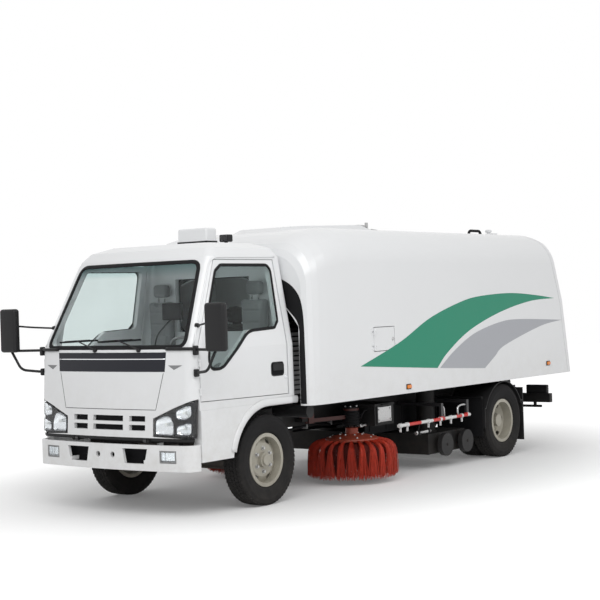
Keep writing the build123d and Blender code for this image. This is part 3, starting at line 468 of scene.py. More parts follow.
def bend(points, radius, steps, closed=False):
    result = []
    count = len(points)
    for i in range(count):
        corner = Vector(points[i])
        if not closed and i in (0, count - 1):
            result.append(tuple(corner))
            continue
        before = Vector(points[i - 1]) - corner
        after = Vector(points[(i + 1) % count]) - corner
        reach = min(radius, before.length * 0.45, after.length * 0.45)
        start = corner + before.normalized() * reach
        end = corner + after.normalized() * reach
        for k in range(steps + 1):
            t = k / steps
            result.append(tuple(start * (1 - t) ** 2 + corner * 2 * t * (1 - t) + end * t * t))
    return result


def spread(points, pitch, closed):
    result = []
    count = len(points)
    for i in range(count if closed else count - 1):
        a = Vector(points[i])
        b = Vector(points[(i + 1) % count])
        steps = max(1, math.ceil((b - a).length / pitch))
        result.extend([tuple(a + (b - a) * k / steps) for k in range(steps)])
    if not closed:
        result.append(points[-1])
    return result


def smoothLine(points, steps):
    result = []
    count = len(points)
    for i in range(count - 1):
        p0, p1, p2, p3 = [Vector(points[min(max(i + d, 0), count - 1)]) for d in (-1, 0, 1, 2)]
        square = 2 * p0 - 5 * p1 + 4 * p2 - p3
        cube = 3 * p1 - p0 - 3 * p2 + p3
        for k in range(steps):
            t = k / steps
            result.append(0.5 * (2 * p1 + (p2 - p0) * t + square * t * t + cube * t ** 3))
    result.append(Vector(points[-1]))
    return result


def evenLine(points, steps, count):
    line = smoothLine(points, steps)
    lengths = [0.0]
    for a, b in zip(line, line[1:]):
        lengths.append(lengths[-1] + (b - a).length)
    result = []
    at = 0
    for k in range(count):
        want = lengths[-1] * k / (count - 1)
        while at < len(line) - 2 and lengths[at + 1] < want:
            at += 1
        span = lengths[at + 1] - lengths[at]
        share = (want - lengths[at]) / span if span > 0 else 0
        result.append(line[at].lerp(line[at + 1], share))
    return result


# Flat outlines are laid on the solids along one axis: each view has its axis and where it looks from
views = {"front": (0, 6.0), "rear": (0, -6.0), "hopperNose": (0, ahead(0.2)), "cabBack": (0, -0.2),
         "left": (1, 3.0), "right": (1, -3.0), "top": (2, 3.0)}


def treeOf(names):
    return BVHTree.FromPolygons(*joinShapes([meshShape(nodes[name].data) for name in names]))


def aim(view, point):
    axis, start = views[view]
    origin = Vector((*point[:axis], start, *point[axis:]))
    way = Vector((0, 0, 0))
    way[axis] = -1.0 if start > 0 else 1.0
    return origin, way


def layOn(points, view, tree, lift=0.0):
    result = []
    for point in points:
        origin, way = aim(view, point)
        hit, normal = tree.ray_cast(origin, way)[:2]
        if hit is None:
            continue
        if normal.dot(way) > 0:
            normal = -normal
        result.append((hit + normal * lift, normal))
    return result


def onPlane(points, y):
    return [(Vector((x, y, z)), Vector((0, 1, 0))) for x, z in points]


def ribbon(laid, width, height, closed):
    section = [(-0.5, -0.15), (-0.5, 0.45), (-0.32, 0.9), (0.0, 1.0), (0.32, 0.9), (0.5, 0.45), (0.5, -0.15)]
    vertices = []
    count = len(laid)
    for i in range(count):
        point, normal = laid[i]
        before = laid[i - 1][0] if closed or i > 0 else point
        after = laid[(i + 1) % count][0] if closed or i < count - 1 else point
        across = normal.cross((after - before).normalized()).normalized()
        for s, h in section:
            vertices.append(tuple(point + across * s * width + normal * h * height))
    faces = loops(count, len(section), closed)
    return vertices, faces if closed else faces + endCaps(count, len(section))


# A patch of skin: an outline cut into a grid and laid on the solids
def patch(outline, pitch, tree, view):
    axis, start = views[view]
    work = bmesh.new()
    flat = [i for i in range(3) if i != axis]
    corners = []
    for u, v in outline:
        point = [0.0, 0.0, 0.0]
        point[flat[0]], point[flat[1]] = u, v
        corners.append(work.verts.new(point))
    work.faces.new(corners)
    for k in range(2):
        low = min(p[k] for p in outline)
        high = max(p[k] for p in outline)
        normal = [0.0, 0.0, 0.0]
        normal[flat[k]] = 1.0
        for step in range(1, max(2, math.ceil((high - low) / pitch))):
            at = [0.0, 0.0, 0.0]
            at[flat[k]] = low + step * pitch
            everything = work.verts[:] + work.edges[:] + work.faces[:]
            bmesh.ops.bisect_plane(work, geom=everything, plane_co=at, plane_no=normal)
    work.verts.index_update()
    laid = []
    for vertex in work.verts:
        origin, way = aim(view, [vertex.co[i] for i in flat])
        hit, normal = tree.ray_cast(origin, way)[:2]
        if hit is None:
            hit, normal = tree.find_nearest(origin + way * abs(start) * 0.6)[:2]
        laid.append((hit, -normal if normal.dot(way) > 0 else normal))
    faces = [tuple(v.index for v in f.verts) for f in work.faces]
    rims = [tuple(v.index for v in e.verts) for e in work.edges if len(e.link_faces) == 1]
    work.free()
    return laid, faces, rims


def skin(patchData, lift, thickness):
    laid, faces, rims = patchData
    count = len(laid)
    vertices = [tuple(p + n * lift) for p, n in laid] + [tuple(p + n * (lift - thickness)) for p, n in laid]
    result = list(faces) + [tuple(i + count for i in reversed(face)) for face in faces]
    result += [(a, b, b + count, a + count) for a, b in rims]
    return vertices, result


def cup(patchData, top, depth):
    laid, faces, rims = patchData
    count = len(laid)
    vertices = [tuple(p + n * top) for p, n in laid] + [tuple(p - n * depth) for p, n in laid]
    result = [tuple(i + count for i in face) for face in faces]
    result += [(a, b, b + count, a + count) for a, b in rims]
    return vertices, result


def insetOutline(outline, share):
    middle = sum((Vector(point) for point in outline), Vector((0, 0))) / len(outline)
    return [tuple(middle + (Vector(point) - middle) * share) for point in outline]


# Stripes on both sides of the sweeper body: edge points are (distance from the front axle, height)
stripes = {
    "green": {
        "upper": [(-1.16, 1.095), (-1.82, 1.286), (-2.36, 1.494), (-2.94, 1.637), (-3.34, 1.69),
                  (-3.97, 1.711), (-4.54, 1.681), (-4.985, 1.64)],
        "lower": [(-2.47, 1.006), (-2.675, 1.151), (-3.115, 1.351), (-3.745, 1.516), (-4.416, 1.618),
                  (-4.985, 1.64)],
        "color": (0.002, 0.235, 0.135),
    },
    "grey": {
        "upper": [(-2.516, 1.003), (-2.81, 1.164), (-3.213, 1.317), (-3.738, 1.412), (-4.177, 1.43),
                  (-5.14, 1.394)],
        "lower": [(-3.394, 0.952), (-3.609, 1.064), (-3.829, 1.168), (-4.629, 1.34), (-5.14, 1.392)],
        "color": (0.42, 0.43, 0.46),
    },
}


def stripeShape(upper, lower, side):
    vertices, faces = [], []
    for depth in (0.0010, 0.0002):
        for pair in zip(upper, lower):
            vertices += [(ahead(point.x), side * (bodySide + depth), point.y) for point in pair]
    layer = 2 * len(upper)
    for a in range(0, layer - 2, 2):
        quad = (a, a + 2, a + 3, a + 1)
        faces.append(quad if side > 0 else tuple(reversed(quad)))
        for edge in (0, 1):
            rim = (a + edge, a + 2 + edge, a + 2 + edge + layer, a + edge + layer)
            faces.append(rim if (edge == 1) == (side > 0) else tuple(reversed(rim)))
    return vertices, faces


for word, stripe in stripes.items():
    film = word + "Film"
    paint[film] = surface(film, stripe["color"], 0.50, variation=0.03, variationScale=2.0, grain=260,
                          grainStrength=0.012)
    upper, lower = [evenLine(stripe[edge], 12, 90) for edge in ("upper", "lower")]
    shapes = [stripeShape(upper, lower, side) for side in (1, -1)]
    meshPiece(word + "Stripes", shapes, film, "hopper", closed=False)
print("stage: stripes")


# Geometry Nodes: copies of a small part at marked places, each turned by the mark's own angles
def newTree(name, sizes):
    tree = bpy.data.node_groups.new(name, "GeometryNodeTree")
    kinds = {"Geometry": "Geometry", **{word: "Float" for word in sizes}, "Finish": "Material"}
    for word, kind in kinds.items():
        tree.interface.new_socket(word, in_out="INPUT", socket_type="NodeSocket" + kind)
    tree.interface.new_socket("Geometry", in_out="OUTPUT", socket_type="NodeSocketGeometry")
    entry = tree.nodes.new("NodeGroupInput").outputs
    turn = addNode(tree, "GeometryNodeInputNamedAttribute", {"Name": "turn"}, data_type="FLOAT_VECTOR")
    marks = addNode(tree, "GeometryNodeMeshToPoints", {"Mesh": entry["Geometry"]})
    return tree, entry, turn.outputs["Attribute"], marks.outputs["Points"]


def placeCopies(tree, entry, angles, inputs):
    spin = addNode(tree, "FunctionNodeEulerToRotation", {0: angles}).outputs[0]
    many = addNode(tree, "GeometryNodeInstanceOnPoints", {"Rotation": spin, **inputs}).outputs["Instances"]
    real = addNode(tree, "GeometryNodeRealizeInstances", {"Geometry": many}).outputs["Geometry"]
    finish = addNode(tree, "GeometryNodeSetMaterial", {"Geometry": real, "Material": entry["Finish"]})
    addNode(tree, "NodeGroupOutput", {"Geometry": finish.outputs["Geometry"]})
    return tree


def copyTree(name, makePart, sizes):
    tree, entry, turn, marks = newTree(name, sizes)
    return placeCopies(tree, entry, turn, {"Points": marks, "Instance": makePart(tree, entry)})


def boltPart(tree, entry):
    radius, height = entry["Radius"], entry["Height"]
    wide, thin = maths(tree, "MULTIPLY", radius, 1.45), maths(tree, "MULTIPLY", height, 0.3)
    head = addNode(tree, "GeometryNodeMeshCylinder", {"Vertices": 6, "Radius": radius, "Depth": height})
    washer = addNode(tree, "GeometryNodeMeshCylinder", {"Vertices": 12, "Radius": wide, "Depth": thin})
    place = addNode(tree, "ShaderNodeCombineXYZ", {"Z": maths(tree, "MULTIPLY", height, 0.5)}).outputs[0]
    lift = addNode(tree, "GeometryNodeTransform", {"Geometry": head.outputs["Mesh"], "Translation": place})
    both = addNode(tree, "GeometryNodeJoinGeometry", {"Geometry": washer.outputs["Mesh"]})
    feed(tree, both, {"Geometry": lift.outputs["Geometry"]})
    return both.outputs["Geometry"]


def rivetPart(tree, entry):
    dome = addNode(tree, "GeometryNodeMeshUVSphere", {"Segments": 10, "Rings": 6, "Radius": entry["Radius"]})
    flat = addNode(tree, "GeometryNodeTransform", {"Geometry": dome.outputs["Mesh"], "Scale": (1, 1, 0.5)})
    return flat.outputs["Geometry"]


def blockPart(tree, entry):
    edges = {"X": entry["Length"], "Y": entry["Width"], "Z": entry["Height"]}
    size = addNode(tree, "ShaderNodeCombineXYZ", edges).outputs[0]
    return addNode(tree, "GeometryNodeMeshCube", {"Size": size}).outputs["Mesh"]


trees = {
    "bolt": copyTree("boltHeads", boltPart, ("Radius", "Height")),
    "rivet": copyTree("rivetHeads", rivetPart, ("Radius",)),
    "block": copyTree("treadBlocks", blockPart, ("Length", "Width", "Height")),
}


def turnTo(normal, twist=0.0):
    quaternion = Vector(normal).to_track_quat("Z", "Y")
    return (quaternion.to_matrix() @ Matrix.Rotation(twist, 3, "Z")).to_euler()


def bakeTree(name, points, tree, sizes, finish):
    mesh = bpy.data.meshes.new(name + "Marks")
    mesh.from_pydata([tuple(place) for place, angles in points], [], [])
    turn = mesh.attributes.new("turn", "FLOAT_VECTOR", "POINT")
    for i, (place, angles) in enumerate(points):
        turn.data[i].vector = tuple(angles)
    holder = bpy.data.objects.new(name + "Marks", mesh)
    scene.collection.objects.link(holder)
    modifier = holder.modifiers.new("copies", "NODES")
    modifier.node_group = tree
    for item in tree.interface.items_tree:
        if item.item_type == "SOCKET" and item.in_out == "INPUT":
            if item.name in sizes:
                modifier[item.identifier] = sizes[item.name]
            elif item.name == "Finish":
                modifier[item.identifier] = paint[finish]
    bpy.context.view_layer.update()
    ready = holder.evaluated_get(bpy.context.evaluated_depsgraph_get())
    result = bpy.data.meshes.new_from_object(ready)
    bpy.data.objects.remove(holder)
    result.name = name
    return result


def copies(name, points, kind, sizes, finish, body, smooth=False):
    return finishPiece(name, bakeTree(name, points, trees[kind], sizes, finish), finish, body, smooth)


def marksOn(points, view, tree, lift=0.0):
    return [(hit, turnTo(normal)) for hit, normal in layOn(points, view, tree, lift)]


def ringOf(center, circle, height, count, shift):
    angles = [2 * math.pi * (number + shift) / count for number in range(count)]
    x, y = center[:2]
    return [(Vector((x + circle * math.cos(a), y + circle * math.sin(a), height)), a) for a in angles]


# Tyres with tread
tyre = {
    "radius": 0.380, "groove": 0.0085, "rows": (-0.066, -0.034, 0.0, 0.034, 0.066), "around": 62,
    "blockLength": 0.0335, "blockWidth": 0.029, "lean": 0.22, "outerDrop": 0.0025, "segments": 108,
    "side": [(0.229, 0.072), (0.236, 0.079), (0.250, 0.0845), (0.256, 0.0875), (0.262, 0.0875),
             (0.266, 0.0895), (0.292, 0.0945), (0.318, 0.0948), (0.322, 0.0962), (0.333, 0.0955),
             (0.337, 0.0925), (0.352, 0.0895), (0.361, 0.086), (0.3655, 0.0815), (0.3690, 0.0805),
             (0.3705, 0.072), (0.3715, 0.040)],
}
wheelSets = {
    "front_left": {"body": "front_left_wheel", "node": "front_left_tyre", "x": frontAxle,
                   "centers": (0.775,)},
    "front_right": {"body": "front_right_wheel", "node": "front_right_tyre", "x": frontAxle,
                    "centers": (-0.775,)},
    "rear_left": {"body": "rear_left_wheels", "node": "rear_left_tyres", "x": rearAxle,
                  "centers": (0.905, 0.670)},
    "rear_right": {"body": "rear_right_wheels", "node": "rear_right_tyres", "x": rearAxle,
                   "centers": (-0.905, -0.670)},
}


def tyreMarks(x, y):
    marks = []
    for number, row in enumerate(tyre["rows"]):
        drop = tyre["outerDrop"] if abs(row) > 0.06 else 0.0
        reach = tyre["radius"] - tyre["groove"] / 2 - drop
        lean = tyre["lean"] * (1 if number % 2 else -1)
        for step in range(tyre["around"]):
            angle = 2 * math.pi * (step + 0.5 * (number % 2)) / tyre["around"]
            out = Vector((math.cos(angle), 0, math.sin(angle)))
            along = Vector((-math.sin(angle), 0, math.cos(angle)))
            basis = Matrix((along, out.cross(along), out)).transposed() @ Matrix.Rotation(lean, 3, "Z")
            marks.append((Vector((x, y + row, axleHeight)) + out * reach, basis.to_euler()))
    return marks


treadBlock = {"Length": tyre["blockLength"], "Width": tyre["blockWidth"], "Height": tyre["groove"]}
tyreProfile = tyre["side"] + [(r, -y) for r, y in reversed(tyre["side"])]
for word, wheel in wheelSets.items():
    shapes = []
    marks = []
    for center in wheel["centers"]:
        shapes.append(lathe(tyreProfile, tyre["segments"], (wheel["x"], center, axleHeight)))
        marks.extend(tyreMarks(wheel["x"], center))
    tread = bakeTree(word + "Tread", marks, trees["block"], treadBlock, "tyre")
    piece = meshPiece(word + "Tyres", shapes + [meshShape(tread)], "tyre", wheel["body"])
    carcassFaces = sum(len(faces) for vertices, faces in shapes)
    for polygon in piece.data.polygons:
        polygon.use_smooth = polygon.index < carcassFaces
    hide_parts(wheel["node"])
print("stage: tyres")

# Wheel nuts
nuts = {"count": 6, "circle": 0.098, "size": {"Radius": 0.0125, "Height": 0.020}, "frontFace": 0.033,
        "rearFace": -0.055}
for word, wheel in wheelSets.items():
    side = 1 if wheel["centers"][0] > 0 else -1
    face = nuts["frontFace"] if word.startswith("front") else nuts["rearFace"]
    y = wheel["centers"][0] + side * face
    marks = []
    for number in range(nuts["count"]):
        angle = 2 * math.pi * (number + 0.5) / nuts["count"]
        place = (wheel["x"] + nuts["circle"] * math.cos(angle), y,
                 axleHeight + nuts["circle"] * math.sin(angle))
        marks.append((place, turnTo((0, side, 0), angle)))
    copies(word + "Nuts", marks, "bolt", nuts["size"], "steel", wheel["body"])
print("stage: wheel nuts")

# Side brushes: a plate with tufts of bristles that fan out to the road
brush = {
    "x": ahead(-1.58), "y": 0.615, "tufts": 24, "rootCircle": 0.228, "rootHeight": 0.392, "shift": 0.25,
    "Per Tuft": 96.0, "Reach": 0.166, "Drop": 0.330, "Thickness": 0.0017, "Fan": 0.135, "Splay": 0.09,
    "inner": {"rootCircle": 0.135, "rootHeight": 0.386, "shift": 0.75, "Per Tuft": 40.0, "Reach": 0.135,
              "Drop": 0.322, "Thickness": 0.0024, "Fan": 0.30, "Splay": 0.12},
    "bolts": ((0.205, 0.417), (0.110, 0.438)),
    "plate": [(0.0225, 0.498), (0.055, 0.500), (0.060, 0.495), (0.060, 0.445), (0.068, 0.440), (0.120, 0.438),
              (0.150, 0.431), (0.235, 0.411), (0.247, 0.404), (0.250, 0.394), (0.248, 0.384), (0.240, 0.380),
              (0.0225, 0.380)],
}


def bristleTree():
    tree, entry, turn, roots = newTree("brushBristles",
                                       ("Per Tuft", "Reach", "Drop", "Thickness", "Fan", "Splay"))

    def vector(**parts):
        inputs = {}
        for axis, (word, factor) in parts.items():
            inputs[axis] = maths(tree, "MULTIPLY", entry[word], factor)
        return addNode(tree, "ShaderNodeCombineXYZ", inputs).outputs[0]

    def anyVector(low, high, seed):
        inputs = {"Min": low, "Max": high, "Seed": seed}
        return addNode(tree, "FunctionNodeRandomValue", inputs, data_type="FLOAT_VECTOR").outputs["Value"]

    many = addNode(tree, "GeometryNodeDuplicateElements", {}, domain="POINT")
    feed(tree, many, {"Geometry": roots, "Amount": entry["Per Tuft"]})
    jitter = anyVector((-0.008, -0.008, -0.006), (0.008, 0.008, 0.006), 3)
    moved = addNode(tree, "GeometryNodeSetPosition", {"Geometry": many.outputs["Geometry"], "Offset": jitter})
    low = vector(X=("Fan", -1.0), Y=("Splay", -1.0), Z=("Fan", -0.6))
    high = vector(X=("Fan", 1.0), Y=("Splay", 1.0), Z=("Fan", 0.6))
    angles = addNode(tree, "ShaderNodeVectorMath", {0: turn, 1: anyVector(low, high, 11)},
                     operation="ADD").outputs[0]
    strand = addNode(tree, "GeometryNodeCurvePrimitiveBezierSegment", {
        "Resolution": 8,
        "Start": (0, 0, 0),
        "Start Handle": vector(X=("Reach", 1.13), Z=("Drop", -0.09)),
        "End Handle": vector(X=("Reach", 1.10), Z=("Drop", -0.15)),
        "End": vector(X=("Reach", 1.0), Z=("Drop", -1.0)),
    }).outputs["Curve"]
    ring = addNode(tree, "GeometryNodeCurvePrimitiveCircle", {"Resolution": 3, "Radius": entry["Thickness"]})
    solid = addNode(tree, "GeometryNodeCurveToMesh",
                    {"Curve": strand, "Profile Curve": ring.outputs["Curve"]})
    solid.inputs["Fill Caps"].default_value = True
    size = addNode(tree, "FunctionNodeRandomValue", {"Seed": 5}, data_type="FLOAT")
    span = {"Min": 0.9, "Max": 1.03}
    for socket in size.inputs:
        if socket.type == "VALUE" and socket.name in span:
            socket.default_value = span[socket.name]
    grown = [socket for socket in size.outputs if socket.type == "VALUE"][0]
    inputs = {"Points": moved.outputs["Geometry"], "Instance": solid.outputs["Mesh"], "Scale": grown}
    return placeCopies(tree, entry, angles, inputs)


bristles = bristleTree()
for side, word in bothSides:
    body = word + "_brush"
    center = (brush["x"], side * brush["y"], 0)
    plate = meshPiece(word + "BrushPlate", [lathe(brush["plate"], 64, center, "Z")], "brushPlate", body)
    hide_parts(body)
    # the inner ring takes the bristle red darkened as painted shade
    for name, form, finish in (("Bristles", brush, "redBristle"),
                               ("InnerBristles", brush["inner"], "innerBristlePaintedShade")):
        roots = ringOf(center, form["rootCircle"], form["rootHeight"], brush["tufts"], form["shift"])
        fan = bakeTree(word + name, [(place, (0, 0, angle)) for place, angle in roots], bristles, form,
                       finish)
        finishPiece(word + name, fan, finish, body, True)
    bolts = []
    for circle, height in brush["bolts"]:
        ring = ringOf(center, circle, height, brush["tufts"], brush["shift"])[::3]
        bolts += [(place, turnTo((0, 0, 1), angle)) for place, angle in ring]
    copies(word + "BrushBolts", bolts, "bolt", {"Radius": 0.008, "Height": 0.008}, "steel", body)
print("stage: brushes")

# Front face: lamps, grille plates of painted shade, lid seams, seals
cabTree = treeOf(["cab_shell", "left_door", "right_door", "front_panel", "front_band"])
backingTree = treeOf(["cab_shell"])
lampTree = treeOf(["headlamps"])
fogTree = treeOf(["fog_lamps"])
headlamp = {
    "outline": [(0.489, 0.659), (0.489, 0.797), (0.690, 0.881), (0.872, 0.949), (0.872, 0.645)],
    "cells": {
        "main": [(0.505, 0.672), (0.508, 0.790), (0.600, 0.826), (0.655, 0.822), (0.690, 0.750),
                 (0.690, 0.668)],
        "upper": [(0.706, 0.800), (0.704, 0.868), (0.795, 0.902), (0.842, 0.908), (0.846, 0.820),
                  (0.800, 0.790)],
        "lower": [(0.712, 0.672), (0.712, 0.745), (0.800, 0.768), (0.846, 0.770), (0.846, 0.672)],
    },
    "bowl": ((1.0, 0.008), (0.93, 0.016), (0.78, 0.027), (0.55, 0.033), (0.25, 0.036)),
    "bulb": 0.011,
}
cells, frames, bulbs = [], [], []
for word, outline in headlamp["cells"].items():
    rim = bend(outline, 0.03, 4, True)
    rings = []
    for share, depth in headlamp["bowl"]:
        rings.append([point for point, normal in layOn(insetOutline(rim, share), "front", lampTree, -depth)])
    count = len(rim)
    faces = loops(len(rings), count, False)
    faces.append(tuple((len(rings) - 1) * count + i for i in range(count)))
    cells.append(([tuple(point) for ring in rings for point in ring], faces))
    frames.append(ribbon(layOn(rim, "front", lampTree, -0.009), 0.008, 0.003, True))
    middle = sum(rings[-1], Vector((0, 0, 0))) / count
    radius = headlamp["bulb"] * (1.3 if word == "main" else 1.0)
    profile = [(core, 0.034), (0.5 * radius, 0.032), (radius, 0.022), (radius, 0.008), (0.7 * radius, 0.0),
               (core, 0.0)]
    bulbs.append(lathe(profile, 16, middle, "X"))
lensPatch = patch(headlamp["outline"], 0.03, lampTree, "front")
lens = pairPiece("headlampLenses", [skin(lensPatch, 0.0, 0.0025)], "lens", "cab", True)
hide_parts("headlamps")
pairPiece("headlampLiners", [cup(lensPatch, -0.003, 0.038)], "linerWithPaintedShade", "cab", closed=False)
pairPiece("headlampReflectors", cells, "chrome", "cab", True, closed=False)
pairPiece("headlampFrames", frames, "glossBlack", "cab", True)
pairPiece("headlampBulbs", bulbs, "bulb", "cab", True)

# Dark plates in the grille slots and behind the bumper openings: painted shade of the space behind them
grille = {"rows": (0.700, 0.772), "slots": ((-0.405, -0.235), (-0.170, 0.170), (0.235, 0.405)),
          "height": 0.046}
plates = []
for z in grille["rows"]:
    for y0, y1 in grille["slots"]:
        outline = [(y0, z), (y1, z), (y1, z + grille["height"]), (y0, z + grille["height"])]
        plates.append(skin(patch(outline, 0.06, backingTree, "front"), 0.008, 0.004))
meshPiece("grilleShadePlates", plates, "linerWithPaintedShade", "cab")
backing = roundedBlock((ahead(0.930), -0.62, 0.425), (ahead(0.936), 0.62, 0.578), 0.002, 1)
meshPiece("bumperShadePlate", [backing], "linerWithPaintedShade", "chassis")

# Fog lamps: fluted lens over a bowl in a dark frame
fog = {"y": (0.574, 0.726), "z": (0.454, 0.546), "flutes": 11, "edge": 0.012}
fogOutline = [(fog["y"][i], fog["z"][j]) for i, j in ((0, 0), (1, 0), (1, 1), (0, 1))]
fogPatch = patch(insetOutline(fogOutline, 0.86), 0.025, fogTree, "front")
fogLens = pairPiece("fogLampLenses", [skin(fogPatch, 0.0, 0.003)], "lens", "chassis")
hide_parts("fog_lamps")
pairPiece("fogLampBowls", [cup(fogPatch, -0.004, 0.030)], "chrome", "chassis", closed=False)
fogRim = layOn(spread(insetOutline(fogOutline, 0.93), 0.03, True), "front", fogTree)
pairPiece("fogLampFrames", [ribbon(fogRim, 0.014, 0.004, True)], "greyPaint", "chassis")
fogStart, fogEnd = fog["y"][0] + fog["edge"], fog["y"][1] - fog["edge"]
flutes = [fogStart + (fogEnd - fogStart) * (number + 0.5) / fog["flutes"] for number in range(fog["flutes"])]
marks = marksOn([(side * y, 0.5) for side in (1, -1) for y in flutes], "front", fogTree, 0.0005)
copies("fogLampFlutes", marks, "block", {"Length": 0.006, "Width": 0.076, "Height": 0.003}, "lens", "chassis")
print("stage: front lamps")

# Window seals
seals = {
    "screen": [(-0.770, 1.372), (-0.668, 2.040), (0.668, 2.040), (0.770, 1.372)],
    "door": [(0.722, 1.245), (0.690, 1.560), (0.470, 2.008), (-0.222, 2.008), (-0.205, 1.490), (0.198, 1.473),
             (0.565, 1.183), (0.690, 1.183)],
    "back": [(-0.430, 1.450), (-0.430, 1.930), (0.430, 1.930), (0.430, 1.450)],
    "grow": 0.006, "corner": 0.075,
}


def grownOutline(outline, grow):
    corners = [Vector(point) for point in outline]
    following = corners[1:] + corners[:1]
    turn = 1 if sum(a.x * b.y - b.x * a.y for a, b in zip(corners, following)) > 0 else -1
    result = []
    for i, corner in enumerate(corners):
        first = (corner - corners[i - 1]).normalized()
        second = (following[i] - corner).normalized()
        firstOut = Vector((first.y, -first.x)) * turn
        secondOut = Vector((second.y, -second.x)) * turn
        out = (firstOut + secondOut).normalized()
        result.append(tuple(corner + out * grow / max(out.dot(firstOut), 0.3)))
    return result


def sealShape(outline, pitch, view, tree, width, height):
    rim = bend(grownOutline(outline, seals["grow"]), seals["corner"], 6, True)
    return ribbon(layOn(spread(rim, pitch, True), view, tree), width, height, True)


screenSeal = sealShape(seals["screen"], 0.04, "front", backingTree, 0.036, 0.006)
meshPiece("windscreenSeal", [screenSeal], "rubber", "cab", True)
backSeal = sealShape(seals["back"], 0.05, "cabBack", backingTree, 0.03, 0.005)
meshPiece("rearWindowSeal", [backSeal], "rubber", "cab", True)
doorOutline = [(ahead(x), z) for x, z in seals["door"]]
doorSeal = sealShape(doorOutline, 0.04, "left", treeOf(["left_door", "cab_shell"]), 0.026, 0.005)
for side, word in bothSides:
    meshPiece(word + "DoorSeal", [doorSeal if side > 0 else mirrored(doorSeal)], "rubber", word + "_door",
              True)
print("stage: window seals")

# Mirrors: shaped heads on bent arms
mirror = {
    "low": (ahead(0.942), 1.077, 1.332), "high": (ahead(1.012), 1.273, 1.708), "round": 0.026,
    "upperArm": [(ahead(0.872), 0.866, 1.345), (ahead(0.925), 1.02, 1.345), (ahead(0.975), 1.17, 1.345),
                 (ahead(0.977), 1.175, 1.40)],
    "lowerArm": [(ahead(0.882), 0.866, 1.160), (ahead(0.960), 1.060, 1.180), (ahead(0.975), 1.165, 1.345)],
    "armRadius": 0.0115, "glassEdge": 0.016,
}
shapes = [roundedBlock(mirror["low"], mirror["high"], mirror["round"], 5),
          tube(bend(mirror["upperArm"], 0.04, 5), mirror["armRadius"], 10),
          tube(bend(mirror["lowerArm"], 0.05, 6), mirror["armRadius"], 10),
          roundedBlock((ahead(0.858), 0.862, 1.130), (ahead(0.904), 0.890, 1.190), 0.008, 2),
          roundedBlock((ahead(0.858), 0.858, 1.300), (ahead(0.904), 0.890, 1.375), 0.008, 2),
          roundedBlock((ahead(0.962), 1.150, 1.405), (ahead(0.990), 1.196, 1.445), 0.006, 2)]
heads = pairPiece("mirrorHeads", shapes, "blackPlastic", "cab", True)
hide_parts("mirrors")
glassRear = mirror["low"][0] - 0.0015
glassLow = (glassRear, mirror["low"][1] + mirror["glassEdge"], mirror["low"][2] + mirror["glassEdge"])
glassHigh = (glassRear + 0.0055, mirror["high"][1] - mirror["glassEdge"],
             mirror["high"][2] - mirror["glassEdge"])
pairPiece("mirrorGlasses", [roundedBlock(glassLow, glassHigh, 0.0012, 1)], "mirror", "cab")
print("stage: mirrors")

# Cab trim: seams, cowl, wipers, handles, gutters, arch flares
screenTree = treeOf(["cab_glass", "cab_shell", "front_panel"])
trim = {
    "lid": [(-0.585, 1.160), (-0.512, 0.868), (0.512, 0.868), (0.585, 1.160)],
    "cowl": [(-0.610, 1.320), (-0.612, 1.356), (0.612, 1.356), (0.610, 1.320)],
    "bright": [(-0.604, 1.272), (0.604, 1.272)],
    "bandEnd": [(0.600, 1.166), (0.612, 1.326), (0.752, 1.326), (0.700, 1.166)],
    "vent": [(0.632, 1.222), (0.690, 1.186), (0.768, 1.222)],
    "lowEdge": [(-0.85, 0.665), (0.85, 0.665)], "valanceHeight": 0.632, "valanceBack": 0.026,
    "gutter": [(0.868, 1.372), (0.520, 2.078), (-0.305, 2.084)],
    "knob": (ahead(0.790), 1.532),
    "cornerArm": [(0.615, 1.346), (0.862, 1.346)],
}
seamLine = layOn(spread(trim["lid"], 0.03, False), "front", cabTree)
meshPiece("frontLidSeam", [ribbon(seamLine, 0.0055, 0.0006, False)], "seam", "cab")
meshPiece("cowlStrip", [skin(patch(trim["cowl"], 0.06, cabTree, "front"), 0.0015, 0.003)], "glossBlack",
          "cab")
brightLine = layOn(spread(trim["bright"], 0.05, False), "front", cabTree)
meshPiece("bandTrim", [ribbon(brightLine, 0.008, 0.0025, False)], "chrome", "cab", True)
pairPiece("bandEnds", [skin(patch(trim["bandEnd"], 0.03, cabTree, "front"), 0.0015, 0.003)], "white", "cab")
# Grey triangles at the band ends: the vent notches drawn flat, their grey is painted shade of the notch
pairPiece("cornerVentShade", [skin(patch(trim["vent"], 0.03, cabTree, "front"), 0.0022, 0.004)], "greyPaint",
          "cab")
valance = []
for point, normal in layOn(spread(trim["lowEdge"], 0.05, False), "front",
                           treeOf(["front_panel", "headlamps"])):
    place = Vector((point.x - trim["valanceBack"], point.y, trim["valanceHeight"]))
    valance.append((place, Vector((normal.x, normal.y, 0)).normalized()))
meshPiece("frontValance", [ribbon(valance, 0.034, 0.005, False)], "blackPlastic", "cab")

